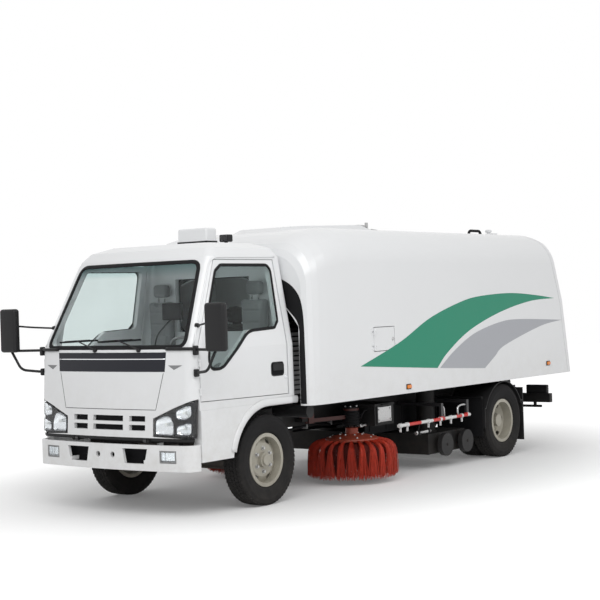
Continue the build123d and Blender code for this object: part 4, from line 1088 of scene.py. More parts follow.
wiper = {"pivots": (0.335, -0.150), "pivotHeight": 1.343, "bladeMiddle": -0.255, "bladeHalf": 0.235,
         "bladeLow": 1.408, "bladeHigh": 1.424, "armRadius": 0.0055,
         "cap": [(core, -0.004), (0.016, -0.004), (0.016, 0.018), (0.011, 0.026), (core, 0.027)]}
blades, arms = [], []
for y in wiper["pivots"]:
    middle = y + wiper["bladeMiddle"]
    line = [(middle - wiper["bladeHalf"], wiper["bladeLow"]),
            (middle + wiper["bladeHalf"], wiper["bladeHigh"])]
    blade = layOn(spread(line, 0.04, False), "front", screenTree, 0.002)
    blades.append(ribbon(blade, 0.011, 0.016, False))
    spine = [point + normal * 0.019 for point, normal in blade[2:-2]]
    foot, footNormal = layOn([(y, wiper["pivotHeight"])], "front", screenTree)[0]
    tip = spine[len(spine) // 2] + Vector((0.006, 0, 0))
    arms.append(tube(spine, 0.004, 8))
    arms.append(tube(bend([foot, foot + footNormal * 0.030, tip], 0.03, 5), wiper["armRadius"], 8))
    arms.append(lathe(wiper["cap"], 20, foot, "X"))
meshPiece("wiperBlades", blades, "rubber", "cab")
meshPiece("wiperArms", arms, "blackPlastic", "cab", True)

gutterLine = bend([(ahead(x), z) for x, z in trim["gutter"]], 0.08, 6)
gutter = ribbon(layOn(spread(gutterLine, 0.04, False), "left", backingTree), 0.014, 0.010, False)
pairPiece("roofGutters", [gutter], "white", "cab", True)
knobSpot = layOn([trim["knob"]], "left", cabTree)[0][0]
knob = lathe([(core, -0.01), (0.019, -0.01), (0.019, 0.012), (0.013, 0.024), (core, 0.028)], 20, knobSpot,
             "Y")
stayLine = [knobSpot + Vector((0, 0.015, 0)), (ahead(0.900), 0.985, 1.545), (ahead(0.970), 1.110, 1.560)]
braceLaid = layOn(spread(trim["cornerArm"], 0.03, False), "front", cabTree, 0.014)
braceLine = [point for point, normal in braceLaid]
brace = tube(braceLine + [Vector((ahead(0.890), 0.890, 1.346))], 0.0125, 10)
pairPiece("mirrorStays", [knob, tube(bend(stayLine, 0.05, 6), 0.008, 10), brace], "blackPlastic", "cab", True)

handle = {
    "rim": [(ahead(-0.066), 1.078), (ahead(-0.066), 1.188), (ahead(-0.232), 1.188), (ahead(-0.232), 1.078)],
    "flap": [(ahead(-0.078), 1.120), (ahead(-0.078), 1.180), (ahead(-0.220), 1.180), (ahead(-0.220), 1.120)],
    "keyhole": (ahead(-0.256), 1.060),
    "lock": [(core, 0.0), (0.013, 0.0), (0.013, 0.004), (0.009, 0.006), (0.005, 0.004), (core, 0.004)],
}
handleRim = bend(handle["rim"], 0.03, 5, True)
handleFlap = bend(handle["flap"], 0.018, 4, True)
for side, word in bothSides:
    body = word + "_door"
    tree = treeOf([body])
    meshPiece(word + "HandleRecess", [skin(patch(handleRim, 0.03, tree, word), 0.0015, 0.004)], "linerWithPaintedShade",
              body)
    rim = ribbon(layOn(handleRim, word, tree), 0.010, 0.004, True)
    meshPiece(word + "HandleRim", [rim], "blackPlastic", body, True)
    meshPiece(word + "HandleFlap", [skin(patch(handleFlap, 0.03, tree, word), 0.011, 0.010)], "blackPlastic",
              body)
    lockSpot = layOn([handle["keyhole"]], word, tree)[0][0]
    profile = [(radius, side * offset) for radius, offset in handle["lock"]]
    meshPiece(word + "Keyhole", [lathe(profile, 24, lockSpot, "Y")], "chrome", body, True)

flare = {"radius": 0.482, "start": 14, "rearX": -0.392, "rearZ": 0.862, "face": 0.884, "width": 0.062,
         "height": 0.017}
path = []
for step in range(20):
    angle = math.radians(flare["start"] + (90 - flare["start"]) * step / 19)
    path.append((ahead(flare["radius"] * math.cos(angle)), axleHeight + flare["radius"] * math.sin(angle)))
path += [(ahead(flare["rearX"] * k / 4), flare["rearZ"]) for k in range(1, 5)]
flareStrip = ribbon(onPlane(path, flare["face"]), flare["width"], flare["height"], False)
pairPiece("archFlares", [flareStrip], "white", "cab", True)
print("stage: cab trim")

# Roof sign: light box on two feet with a dark strip around its foot
sign = {"low": (ahead(-0.250), -0.170, 2.230), "high": (ahead(-0.110), 0.170, 2.365), "feet": (-0.140, 0.140)}
shapes = [roundedBlock(sign["low"], sign["high"], 0.018, 4)]
for y in sign["feet"]:
    low, high = (ahead(-0.210), y - 0.020, 2.205), (ahead(-0.150), y + 0.020, 2.234)
    shapes.append(roundedBlock(low, high, 0.004, 1))
signPiece = meshPiece("signBox", shapes, "white", "cab")
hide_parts("roof_sign")
stripLow = (sign["low"][0] - 0.003, sign["low"][1] - 0.003, sign["low"][2] - 0.004)
stripHigh = (sign["high"][0] + 0.003, sign["high"][1] + 0.003, sign["low"][2] + 0.022)
meshPiece("signFoot", [roundedBlock(stripLow, stripHigh, 0.004, 2)], "blackPlastic", "cab")
print("stage: roof sign")

# Inside the cab: round steering wheel, screen on a stalk
steer = {
    "place": Vector((ahead(0.430), 0.420, 1.275)), "up": Vector((-0.210, 0, 0.145)).normalized(),
    "ring": 0.190, "grip": 0.0135, "spokes": (0, 125, 235), "spokeRadius": 0.010, "column": 0.030,
    "columnEnd": (ahead(0.640), 0.420, 1.130),
    "hub": [(core, -0.020), (0.045, -0.020), (0.052, -0.004), (0.052, 0.010), (0.040, 0.020), (core, 0.024)],
}


def onWheel(u, v, w):
    across = Vector((0, 1, 0))
    return tuple(steer["place"] + across * u + across.cross(steer["up"]) * v + steer["up"] * w)


gripTurns = [2 * math.pi * k / 10 for k in range(10)]
gripRound = [(steer["ring"] + steer["grip"] * math.cos(a), steer["grip"] * math.sin(a)) for a in gripTurns]
shapes = []
for profile, segments in ((gripRound, 56), (steer["hub"], 32)):
    vertices, faces = lathe(profile, segments, (0, 0, 0), "Z")
    shapes.append(([onWheel(*vertex) for vertex in vertices], faces))
for angle in steer["spokes"]:
    c, s = math.cos(math.radians(angle - 90)), math.sin(math.radians(angle - 90))
    spoke = [onWheel(reach * c, reach * s, w) for reach, w in ((0.03, -0.004), (0.11, -0.006), (0.188, 0))]
    shapes.append(tube(spoke, steer["spokeRadius"], 8))
shapes.append(tube([steer["place"] - steer["up"] * 0.015, steer["columnEnd"]], steer["column"], 20))
wheelPiece = meshPiece("steeringRing", shapes, "dash", "cab", True)
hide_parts("steering_wheel")
stalkLine = [(ahead(0.735), 0.300, 1.345), (ahead(0.730), 0.330, 1.46), (ahead(0.690), 0.455, 1.585)]
screenBox = roundedBlock((ahead(0.672), 0.365, 1.575), (ahead(0.705), 0.575, 1.715), 0.010, 3)
meshPiece("dashScreen", [tube(bend(stalkLine, 0.05, 5), 0.006, 8), screenBox], "blackPlastic", "cab")
screenPane = roundedBlock((ahead(0.6695), 0.378, 1.588), (ahead(0.674), 0.562, 1.702), 0.0015, 1)
meshPiece("dashScreenGlass", [screenPane], "glossBlack", "cab")
print("stage: cab inside")

# Sweeper body: dark lining of the front arch, markers, roof fittings, hatch lock
arch = {
    "inner": [(0.900, 0.815), (0.900, 1.250), (0.900, 1.480), (0.800, 1.607), (0.600, 1.779), (0.300, 1.917),
              (0.0, 1.960)],
    "outer": [(0.958, 0.815), (0.956, 1.250), (0.948, 1.600), (0.905, 1.760), (0.760, 1.880), (0.420, 1.985),
              (0.0, 2.010)],
}
along, across = 40, 5
spots = []
for inner, outer in zip(evenLine(arch["inner"], 8, along), evenLine(arch["outer"], 8, along)):
    spots += [tuple(inner.lerp(outer, 0.06 + 0.94 * k / (across - 1))) for k in range(across)]
edges = [(i * across + k, (i + 1) * across + k) for k in (0, across - 1) for i in range(along - 1)]
edges += [(row * across + k, row * across + k + 1) for row in (0, along - 1) for k in range(across - 1)]
lining = (layOn(spots, "hopperNose", treeOf(["hopper_shell"])), loops(along, across, False, False), edges)
pairPiece("archLining", [skin(lining, 0.002, 0.003)], "rubber", "hopper")

marker = {"places": ((-1.943, 0.862), (-4.790, 0.926)), "length": 0.066, "height": 0.036, "depth": 0.020,
          "rim": 0.007}


def markerBlock(x, z, grow, depth, radius, segments):
    reach, rise = marker["length"] / 2 + grow, marker["height"] / 2 + grow
    low, high = (ahead(x) - reach, bodySide - 0.001, z - rise), (ahead(x) + reach, bodySide + depth, z + rise)
    return roundedBlock(low, high, radius, segments)


lamps = [markerBlock(x, z, 0.0, marker["depth"], 0.009, 4) for x, z in marker["places"]]
bases = [markerBlock(x, z, marker["rim"], 0.006, 0.003, 2) for x, z in marker["places"]]
pairPiece("sideMarkers", lamps, "amber", "hopper", True)
pairPiece("sideMarkerBases", bases, "rubber", "hopper")

roof = {
    "top": 2.350, "y": 0.450, "hose": (ahead(-4.14), ahead(-4.42)), "hoseTop": 2.405, "vent": ahead(-4.590),
    "foot": [(core, -0.003), (0.030, -0.003), (0.030, 0.006), (0.018, 0.012), (core, 0.012)],
    "ventProfile": [(core, -0.004), (0.034, -0.004), (0.034, 0.010), (0.018, 0.016), (0.018, 0.040),
                    (0.036, 0.046), (0.038, 0.062), (0.026, 0.074), (core, 0.076)],
    "latch": [(ahead(-2.640), 0.178, 2.375), (ahead(-2.655), 0.178, 2.402), (ahead(-2.790), 0.178, 2.392),
              (ahead(-2.815), 0.178, 2.346)],
    "rivetRows": (-0.238, 0.238), "rivets": 12,
}
hoseFront, hoseRear = roof["hose"]
hoseLine = [(hoseFront, roof["y"], roof["top"] - 0.004), (hoseFront - 0.03, roof["y"], roof["hoseTop"]),
            (hoseRear + 0.03, roof["y"], roof["hoseTop"]), (hoseRear, roof["y"], roof["top"] - 0.004)]
meshPiece("roofHose", [tube(bend(hoseLine, 0.09, 8), 0.015, 12)], "rubber", "hopper", True)
feet = [lathe(roof["foot"], 24, (x, roof["y"], roof["top"]), "Z") for x in roof["hose"]]
meshPiece("roofHoseFeet", feet, "steel", "hopper", True)
vent = lathe(roof["ventProfile"], 28, (roof["vent"], roof["y"], roof["top"]), "Z")
meshPiece("roofVent", [vent], "white", "hopper", True)
shapes = [roundedBlock((ahead(-2.560), 0.150, 2.420), (ahead(-2.400), 0.205, 2.442), 0.005, 2),
          roundedBlock((ahead(-2.588), 0.165, 2.395), (ahead(-2.562), 0.192, 2.470), 0.005, 2),
          tube(bend(roof["latch"], 0.02, 4), 0.008, 8)]
meshPiece("coverLatch", shapes, "steel", "hopper")
rivetSteps = [ahead(-1.12 - 1.25 * step / (roof["rivets"] - 1)) for step in range(roof["rivets"])]
marks = marksOn([(x, y) for y in roof["rivetRows"] for x in rivetSteps], "top",
                treeOf(["hopper_shell", "roof_cover"]))
copies("coverRivets", marks, "rivet", {"Radius": 0.006}, "white", "hopper", True)

hatch = {
    "lockPlace": (ahead(-1.700), bodySide, 1.322),
    "lock": [(core, -0.002), (0.017, -0.002), (0.017, 0.004), (0.012, 0.007), (0.006, 0.007), (0.005, 0.003),
             (core, 0.003)],
    "hinges": (1.265, 1.395), "screws": {"hopper": -1.360, "side_hatch": -1.415},
    "screwFace": bodySide + 0.0062,
}
meshPiece("hatchLock", [lathe(hatch["lock"], 28, hatch["lockPlace"], "Y")], "steel", "side_hatch", True)
for body, x in hatch["screws"].items():
    marks = [(Vector((ahead(x), hatch["screwFace"], z)), turnTo((0, 1, 0))) for z in hatch["hinges"]]
    copies(body + "HingeScrews", marks, "rivet", {"Radius": 0.0045}, "steel", body, True)
print("stage: sweeper body")

# Tail: rivets, latches at the lower edge, handle
tailTree = treeOf(["tail_door"])
tail = {"latch": (0.720, 0.90), "handle": (0.0, 1.20), "handleHalf": 0.160, "across": 17, "upright": 9}
level = [-0.95 + 1.90 * step / (tail["across"] - 1) for step in range(tail["across"])]
places = [(y, z) for z in (0.86, 1.58) for y in level]
upright = [0.92 + 0.60 * step / (tail["upright"] - 1) for step in range(tail["upright"])]
places += [(side * 0.975, z) for side in (1, -1) for z in upright]
copies("tailRivets", marksOn(places, "rear", tailTree), "rivet", {"Radius": 0.007}, "white", "tail_door",
       True)
y, face = tail["latch"][0], layOn([tail["latch"]], "rear", tailTree)[0][0].x
latch = roundedBlock((face - 0.022, y - 0.060, 0.860), (face + 0.004, y + 0.060, 0.950), 0.006, 2)
pins = [tube([(face - 0.030, y - 0.048, 0.905), (face - 0.030, y + 0.048, 0.905)], 0.012, 14),
        roundedBlock((face - 0.036, y - 0.012, 0.830), (face - 0.014, y + 0.012, 0.905), 0.004, 2)]
pairPiece("tailLatches", [latch], "greyPaint", "tail_door")
pairPiece("tailLatchPins", pins, "steel", "tail_door")
z, face = tail["handle"][1], layOn([tail["handle"]], "rear", tailTree)[0][0].x
reach = tail["handleHalf"]
bar = [(face + 0.004, -reach, z), (face - 0.050, -reach, z), (face - 0.050, reach, z),
       (face + 0.004, reach, z)]
meshPiece("tailHandle", [tube(bend(bar, 0.025, 5), 0.011, 12)], "steel", "tail_door", True)
print("stage: tail")

# Rear lamps: dark boxes with red, amber and white fields on the rear face
rearLamp = {"rear": ahead(-5.122), "front": ahead(-5.072), "y": (0.600, 0.860), "z": (0.570, 0.665),
            "fields": {"lampRed": (0.690, 0.780), "amber": (0.788, 0.850), "bulb": (0.612, 0.682)}}
y, z = rearLamp["y"], rearLamp["z"]
housing = roundedBlock((rearLamp["rear"], y[0], z[0]), (rearLamp["front"], y[1], z[1]), 0.008, 3)
lampPiece = pairPiece("rearLampBoxes", [housing], "blackPlastic", "chassis")
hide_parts("rear_lamps")
for key, (y0, y1) in rearLamp["fields"].items():
    low, high = (rearLamp["rear"] - 0.010, y0, 0.584), (rearLamp["rear"] + 0.002, y1, 0.652)
    field = roundedBlock(low, high, 0.005, 3)
    pairPiece(key + "Field", [field], key, "chassis", True)
print("stage: rear lamps")

# Underbody: box cover, guard hangers, splash sheets, lines along the rails
box = {"x": (ahead(-1.985), ahead(-1.735)), "y": 0.800, "z": (0.525, 0.685), "screwGap": 0.19}
cover = roundedBlock((box["x"][0], box["y"] - 0.001, box["z"][0]),
                     (box["x"][1], box["y"] + 0.006, box["z"][1]), 0.003, 2)
meshPiece("boxCover", [cover], "steel", "chassis")
rim = spread([(box["x"][i], box["z"][j]) for i, j in ((0, 0), (1, 0), (1, 1), (0, 1))], 0.06, True)
meshPiece("boxCoverFrame", [ribbon(onPlane(rim, box["y"] + 0.004), 0.022, 0.008, True)], "blackPlastic",
          "chassis")
columns = [box["x"][0] + 0.030 + box["screwGap"] * i for i in range(2)]
marks = [((x, box["y"] + 0.006, z), turnTo((0, 1, 0))) for x in columns for z in (0.555, 0.655)]
copies("boxCoverScrews", marks, "bolt", {"Radius": 0.007, "Height": 0.006}, "steel", "chassis")

guard = {
    "y": 0.950, "z": 0.495, "hangers": (-1.90, -2.02, -2.40, -2.62, -2.82, -3.03),
    "pipe": (0.920, 0.395), "pipeX": ahead(-2.340), "straps": (-2.245, -2.435),
    "pipeProfile": [(core, -0.125), (0.020, -0.125), (0.020, -0.105), (0.016, -0.100), (0.016, 0.100),
                    (0.020, 0.105), (0.020, 0.125), (core, 0.125)],
    "rearPipe": [(ahead(-2.955), 0.950, 0.505), (ahead(-2.955), 0.945, 0.592), (ahead(-3.050), 0.945, 0.606),
                 (ahead(-3.125), 0.950, 0.600)],
    "frontPipe": [(ahead(-2.700), 0.950, 0.505), (ahead(-2.700), 0.945, 0.610),
                  (ahead(-2.645), 0.945, 0.618)],
}
shapes = []
for x in [ahead(distance) for distance in guard["hangers"]]:
    shapes.append(collar(0.0162, 0.022, 0.014, 18, (x, guard["y"], guard["z"])))
    low = (x - 0.006, guard["y"] - 0.010, guard["z"] - 0.062)
    high = (x + 0.006, guard["y"] + 0.010, guard["z"] - 0.016)
    shapes.append(roundedBlock(low, high, 0.003, 1))
meshPiece("guardHangers", shapes, "white", "chassis")
shapes = [lathe(guard["pipeProfile"], 20, (guard["pipeX"], *guard["pipe"]), "X"),
          tube(bend(guard["rearPipe"], 0.04, 6), 0.012, 12),
          tube(bend(guard["frontPipe"], 0.03, 5), 0.009, 10)]
meshPiece("guardPipes", shapes, "steel", "chassis", True)
shapes = []
for x in [ahead(distance) for distance in guard["straps"]]:
    shapes.append(tube([(x, 0.946, guard["z"]), (x, 0.934, 0.440), (x, 0.921, 0.402)], 0.008, 8))
    shapes.append(collar(0.0165, 0.0235, 0.012, 18, (x, *guard["pipe"])))
meshPiece("pipeStraps", shapes, "rubber", "chassis")

sheet = {"x": (-1.250, 0.100), "y": 0.440, "z": (0.375, 0.655), "thickness": 0.004, "ribs": 5,
         "ribEdge": 0.09}
(x0, x1), y, (z0, z1) = sheet["x"], sheet["y"], sheet["z"]
shapes = [roundedBlock((x0, y, z0), (x1, y + sheet["thickness"], z1), 0.0015, 1)]
for step in range(sheet["ribs"]):
    x = x0 + sheet["ribEdge"] + (x1 - x0 - 2 * sheet["ribEdge"]) * step / (sheet["ribs"] - 1)
    low, high = (x - 0.014, y + 0.001, z0 + 0.02), (x + 0.014, y + 0.012, z1 - 0.02)
    shapes.append(roundedBlock(low, high, 0.004, 2))
shapes.append(roundedBlock((-1.252, y, 0.255), (-1.246, 0.985, z1), 0.002, 1))
shapes.append(roundedBlock((-1.262, y, 0.640), (-1.236, 0.985, 0.660), 0.004, 2))
pairPiece("splashSheets", shapes, "rubber", "chassis")

railLine = {"low": 0.541, "x": (-0.70, -3.10), "hoses": ((0.378, 0.011), (0.402, 0.009), (0.420, 0.012)),
            "clips": 7, "sag": 0.012, "steps": 12}
start, end = railLine["x"]
hoses, clips = [], []
for y, radius in railLine["hoses"]:
    points = []
    for share in [step / railLine["steps"] for step in range(railLine["steps"] + 1)]:
        sag = railLine["sag"] * math.sin(share * math.pi * 6 + y * 40)
        points.append((ahead(start + (end - start) * share), y, railLine["low"] + sag))
    hoses.append(tube(points, radius, 8))
for step in range(railLine["clips"]):
    x = ahead(-0.75 - 2.3 * step / (railLine["clips"] - 1))
    clips.append(roundedBlock((x - 0.012, 0.366, 0.522), (x + 0.012, 0.434, 0.565), 0.004, 1))
pairPiece("railHoses", hoses, "rubber", "chassis", True)
pairPiece("railClips", clips, "greyPaint", "chassis")

# Brush drive: ribbed sleeve and cap on each motor, fittings with a hose loop, steel stay
drive = {
    "x": ahead(-1.580), "y": 0.615, "ribs": 5,
    "cap": [(core, 0.678), (0.072, 0.678), (0.072, 0.690), (0.060, 0.698), (0.024, 0.700), (0.022, 0.712),
            (core, 0.714)],
    "hose": [(-0.050, 0.670, 0.560), (-0.075, 0.705, 0.655), (-0.190, 0.725, 0.665), (-0.235, 0.730, 0.600),
             (-0.235, 0.730, 0.520)],
    "stay": [(-0.045, 0.675, 0.515), (-0.250, 0.735, 0.515)],
    "fitting": [(-0.235, 0.730, 0.500), (-0.235, 0.730, 0.545)],
    "blockY": (0.640, 0.700),
}
sleeve = [(0.0752, 0.520)]
for z in [0.526 + 0.026 * step for step in range(drive["ribs"])]:
    sleeve += [(0.078, z), (0.084, z + 0.004), (0.084, z + 0.014), (0.078, z + 0.018)]
sleeve.append((0.0752, 0.660))
for side, word in bothSides:
    body = word + "_brush_arm"
    center = (drive["x"], side * drive["y"], 0)
    hose, stay, fitting = [
        [(drive["x"] + x, side * y, z) for x, y, z in drive[name]] for name in ("hose", "stay", "fitting")
    ]
    blockLow, blockHigh = sorted(side * y for y in drive["blockY"])
    meshPiece(word + "MotorSleeve", [lathe(sleeve, 40, center, "Z"), lathe(drive["cap"], 36, center, "Z")],
              "rubber", body)
    marks = [(place, turnTo((0, 0, 1), angle)) for place, angle in ringOf(center, 0.060, 0.697, 6, 0.5)]
    copies(word + "MotorBolts", marks, "bolt", {"Radius": 0.007, "Height": 0.007}, "steel", body)
    meshPiece(word + "MotorHose", [tube(bend(hose, 0.05, 6), 0.011, 10)], "rubber", body, True)
    low, high = (drive["x"] - 0.075, blockLow, 0.498), (drive["x"] - 0.030, blockHigh, 0.530)
    block = roundedBlock(low, high, 0.005, 2)
    meshPiece(word + "MotorStay", [tube(stay, 0.012, 12), tube(fitting, 0.016, 14), block], "steel", body)
print("stage: underbody")

# Seats: crowned cushions blown up as cloth from slightly smaller blocks, with sewn channels.
# Channels run across the axis named along and are sunk into the face on the axis named face.
seat = {
    "cushion": {"low": (1.835, 0.385, 1.072), "high": (2.318, 0.745, 1.180), "radius": 0.040, "swell": 0.018,
                "channels": {"along": 0, "count": 4, "face": 2, "depth": 0.009}},
    "back": {"low": (1.812, 0.402, 1.205), "high": (1.908, 0.683, 1.738), "radius": 0.036, "swell": 0.018,
             "channels": {"along": 2, "count": 5, "face": 0, "depth": 0.008}},
    "headrest": {"low": (1.814, 0.462, 1.768), "high": (1.894, 0.628, 1.886), "radius": 0.032,
                 "swell": 0.010},
}
cushioning = {"voxel": 0.0075, "pressure": 4.0, "frames": 20, "quality": 4}


def bakedMesh(piece):
    return bpy.data.meshes.new_from_object(piece.evaluated_get(bpy.context.evaluated_depsgraph_get()))


def blowUp(pad):
    cloth = pad.modifiers.new("cloth", "CLOTH")
    cloth.settings.use_pressure = True
    cloth.settings.uniform_pressure_force = cushioning["pressure"]
    cloth.settings.effector_weights.gravity = 0.0
    cloth.settings.quality = cushioning["quality"]
    cloth.point_cache.frame_end = cushioning["frames"]
    for number in range(1, cushioning["frames"] + 1):
        scene.frame_set(number)
    blown = bakedMesh(pad)
    pad.modifiers.clear()
    scene.frame_set(1)
    return blown


def sewChannels(mesh, low, high, channels):
    along, face = channels["along"], channels["face"]
    middle = [(a + b) / 2 for a, b in zip(low, high)]
    half = [(b - a) / 2 for a, b in zip(low, high)]
    for vertex in mesh.vertices:
        share = [(vertex.co[i] - middle[i]) / half[i] for i in range(3)]
        if share[face] > 0.4:
            turns = channels["count"] * (vertex.co[along] - low[along]) / (high[along] - low[along])
            wave = abs(math.sin(math.pi * turns))
            edge = max(0.0, 1 - max(abs(share[i]) for i in range(3) if i != face) ** 6)
            vertex.co[face] -= channels["depth"] * (1 - min(1.0, wave * 2.6)) * edge


def cushionShape(name, low, high, radius, swell, channels=None):
    mesh = bpy.data.meshes.new(name)
    vertices, faces = roundedBlock(low, high, radius, 4)
    mesh.from_pydata(vertices, [], faces)
    pad = bpy.data.objects.new(name, mesh)
    scene.collection.objects.link(pad)
    remesh = pad.modifiers.new("remesh", "REMESH")
    remesh.mode = "VOXEL"
    remesh.voxel_size = cushioning["voxel"]
    even = bakedMesh(pad)
    pad.modifiers.clear()
    pad.data = even
    start = [v.co.copy() for v in even.vertices]
    blown = blowUp(pad)
    for vertex, origin in zip(blown.vertices, start):
        step = vertex.co - origin
        if step.length > swell:
            vertex.co = origin + step * (swell / step.length)
    if channels:
        sewChannels(blown, low, high, channels)
    bpy.data.objects.remove(pad)
    shape = meshShape(blown)
    bpy.data.meshes.remove(blown)
    return shape


for key, form in seat.items():
    shape = cushionShape("seat" + key, **form)
    for side, word in bothSides:
        padShape = shape if side > 0 else mirrored(shape)
        pad = meshPiece(word + "Seat" + key.capitalize(), [padShape], "seatCloth", "cab", True)
        if key == "cushion":
            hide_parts("seats")
posts = [tube([(1.856, y, 1.725), (1.854, y, 1.800)], 0.0065, 12) for y in (0.508, 0.582)]
pairPiece("headrestPosts", posts, "steel", "cab", True)
print("stage: seats")

# Auxiliary engine: louvred sides, air filter and silencer on top, belt drive on the front face
auxEngine = {
    "middle": 1.075, "front": 1.485, "y": 0.425, "top": 1.500, "slats": 13, "slatLean": -0.50,
    "slat": {"Length": 0.66, "Width": 0.004, "Height": 0.036}, "frameHalf": (0.355, 0.315),
    "frameHeight": 1.134, "filter": (0.190, 1.605), "filterRibs": 8, "silencer": (-0.190, 1.590),
    "bands": (-0.15, 0.15),
    "can": [(core, -0.250), (0.062, -0.246), (0.072, -0.230), (0.072, 0.230), (0.062, 0.246), (core, 0.250)],
    "pulleys": ((0.0, 1.02, 0.105), (0.215, 1.225, 0.060), (-0.205, 1.190, 0.052)), "pulleyFace": 1.487,
    "belt": ((-0.102, 0.985), (-0.258, 1.185), (-0.205, 1.243), (0.215, 1.286), (0.276, 1.228),
             (0.100, 0.960), (0.0, 0.916)),
}
middle = auxEngine["middle"]
for side, word in bothSides:
    heights = [0.870 + 0.044 * step for step in range(auxEngine["slats"])]
    lean = (side * auxEngine["slatLean"], 0, 0)
    marks = [(Vector((middle, side * (auxEngine["y"] + 0.007), z)), lean) for z in heights]
    copies(word + "EngineSlats", marks, "block", auxEngine["slat"], "greyPaint", "chassis")
halfLength, halfHeight = auxEngine["frameHalf"]
frameMiddle = auxEngine["frameHeight"]
corners = ((-1, -1), (1, -1), (1, 1), (-1, 1))
rim = [(middle + u * halfLength, frameMiddle + v * halfHeight) for u, v in corners]
frameStrip = ribbon(onPlane(spread(rim, 0.08, True), auxEngine["y"] + 0.004), 0.030, 0.010, True)
pairPiece("engineSlatFrames", [frameStrip], "blackPlastic", "chassis")
profile = [(core, -0.190), (0.070, -0.190), (0.082, -0.182)]
for x in [-0.165 + 0.042 * step for step in range(auxEngine["filterRibs"])]:
    profile += [(0.090, x), (0.098, x + 0.008), (0.098, x + 0.020), (0.090, x + 0.028)]
profile += [(0.082, 0.182), (0.060, 0.190), (0.055, 0.215), (core, 0.216)]
shapes = [lathe(profile, 40, (middle, *auxEngine["filter"]), "X")]
for x in (middle - 0.12, middle + 0.12):
    shapes.append(roundedBlock((x - 0.020, 0.105, 1.498), (x + 0.020, 0.275, 1.530), 0.006, 2))
meshPiece("engineFilter", shapes, "blackPlastic", "chassis")
y, z = auxEngine["silencer"]
shapes = [lathe(auxEngine["can"], 36, (middle, y, z), "X")]
for start, turn, end, radius in ((0.246, 0.320, 1.495, 0.026), (-0.246, -0.310, 1.700, 0.024)):
    pipe = bend([(middle + start, y, z), (middle + turn, y, z), (middle + turn, y, end)], 0.05, 6)
    shapes.append(tube(pipe, radius, 16))
for x in [middle + offset for offset in auxEngine["bands"]]:
    shapes.append(collar(0.0722, 0.077, 0.012, 36, (x, y, z)))
    shapes.append(roundedBlock((x - 0.014, y - 0.045, 1.498), (x + 0.014, y + 0.045, 1.530), 0.004, 1))
meshPiece("engineSilencer", shapes, "iron", "chassis")
shapes = []
for y, z, radius in auxEngine["pulleys"]:
    profile = [(core, -0.004), (radius, -0.004), (radius, 0.006), (radius - 0.012, 0.013), (radius, 0.020),
               (radius, 0.028), (radius * 0.72, 0.028), (radius * 0.66, 0.018), (0.026, 0.018),
               (0.024, 0.036), (core, 0.037)]
    shapes.append(lathe(profile, 40, (auxEngine["pulleyFace"], y, z), "X"))
meshPiece("enginePulleys", shapes, "iron", "chassis")
belt = bend([(auxEngine["pulleyFace"] + 0.012, y, z) for y, z in auxEngine["belt"]], 0.05, 8, True)
meshPiece("engineBelt", [tube(belt + belt[:1], 0.006, 8)], "rubber", "chassis", True)
faceBolts = [(auxEngine["front"], y, z) for y in (-0.385, 0.385) for z in (0.80, 1.02, 1.24, 1.46)]
topBolts = [(middle + x, y, auxEngine["top"]) for x in (-0.37, -0.12, 0.12, 0.37) for y in (-0.390, 0.390)]
marks = [(place, turnTo((1, 0, 0))) for place in faceBolts]
marks += [(place, turnTo((0, 0, 1))) for place in topBolts]
copies("engineBolts", marks, "bolt", {"Radius": 0.010, "Height": 0.009}, "steel", "chassis")

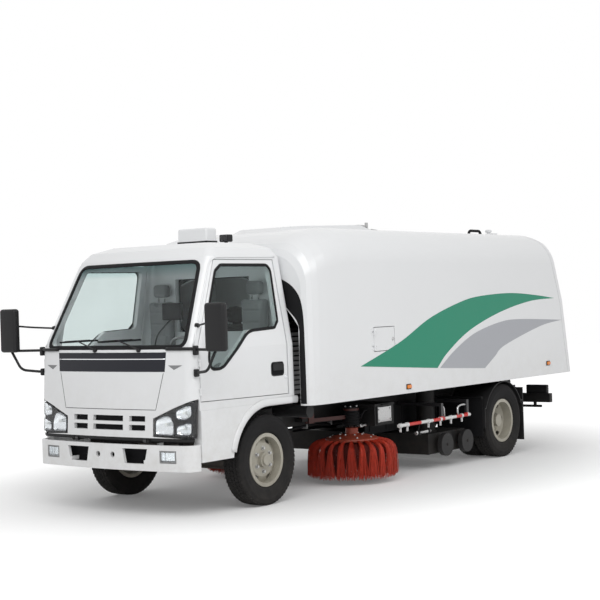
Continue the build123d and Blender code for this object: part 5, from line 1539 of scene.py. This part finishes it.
# Road engine: ribbed rocker cover with bolts
shapes = [roundedBlock((1.640, -0.095, 0.997), (2.180, 0.095, 1.030), 0.014, 3)]
for x in [1.690 + 0.088 * step for step in range(6)]:
    shapes.append(roundedBlock((x, -0.080, 1.026), (x + 0.022, 0.080, 1.036), 0.004, 1))
meshPiece("rockerCover", shapes, "greyPaint", "chassis")
marks = [((1.665 + 0.122 * step, y, 1.001), turnTo((0, 0, 1))) for step in range(5) for y in (-0.115, 0.115)]
copies("rockerBolts", marks, "bolt", {"Radius": 0.008, "Height": 0.008}, "steel", "chassis")
print("stage: engines")

# Work lamp beside the roof sign
shapes = [roundedBlock((ahead(-0.225), 0.275, 2.232), (ahead(-0.150), 0.375, 2.296), 0.012, 3),
          roundedBlock((ahead(-0.200), 0.312, 2.190), (ahead(-0.175), 0.338, 2.236), 0.004, 1)]
meshPiece("workLamp", shapes, "blackPlastic", "cab")
workLens = roundedBlock((ahead(-0.152), 0.285, 2.241), (ahead(-0.143), 0.365, 2.287), 0.004, 3)
meshPiece("workLampLens", [workLens], "lens", "cab", True)
print("stage: work lamp")

# Fuel tank straps and cap, battery box lid
tank = {
    "y": (-0.860, -0.425), "z": (0.500, 0.735), "straps": (-0.265, -0.005), "wide": 0.036, "thick": 0.004,
    "cap": [(core, -0.030), (0.036, -0.030), (0.040, -0.024), (0.040, -0.010), (0.032, -0.006),
            (0.032, 0.002), (core, 0.002)],
    "capPlace": (-0.135, -0.860, 0.665),
}
(y0, y1), (z0, z1), thick = tank["y"], tank["z"], tank["thick"]
shapes = []
for x in tank["straps"]:
    low, high = x - tank["wide"] / 2, x + tank["wide"] / 2
    shapes.append(roundedBlock((low, y0 - thick, z0 - thick), (high, y0 + 0.001, z1 + thick), 0.0015, 1))
    shapes.append(roundedBlock((low, y0 - thick, z1 - 0.001), (high, y1, z1 + thick), 0.0015, 1))
    shapes.append(roundedBlock((low, y0 - thick, z0 - thick), (high, y1, z0 + 0.001), 0.0015, 1))
meshPiece("tankStraps", shapes, "steel", "chassis")
meshPiece("tankCap", [lathe(tank["cap"], 32, tank["capPlace"], "Y")], "blackPlastic", "chassis", True)
lidHandle = [(0.220, 0.800, 0.697), (0.220, 0.822, 0.697), (0.350, 0.822, 0.697), (0.350, 0.800, 0.697)]
shapes = [roundedBlock((0.117, 0.430, 0.688), (0.453, 0.808, 0.712), 0.006, 2),
          tube(bend(lidHandle, 0.010, 4), 0.005, 8)]
meshPiece("batteryLid", shapes, "blackPlastic", "chassis")
print("stage: tank and battery box")
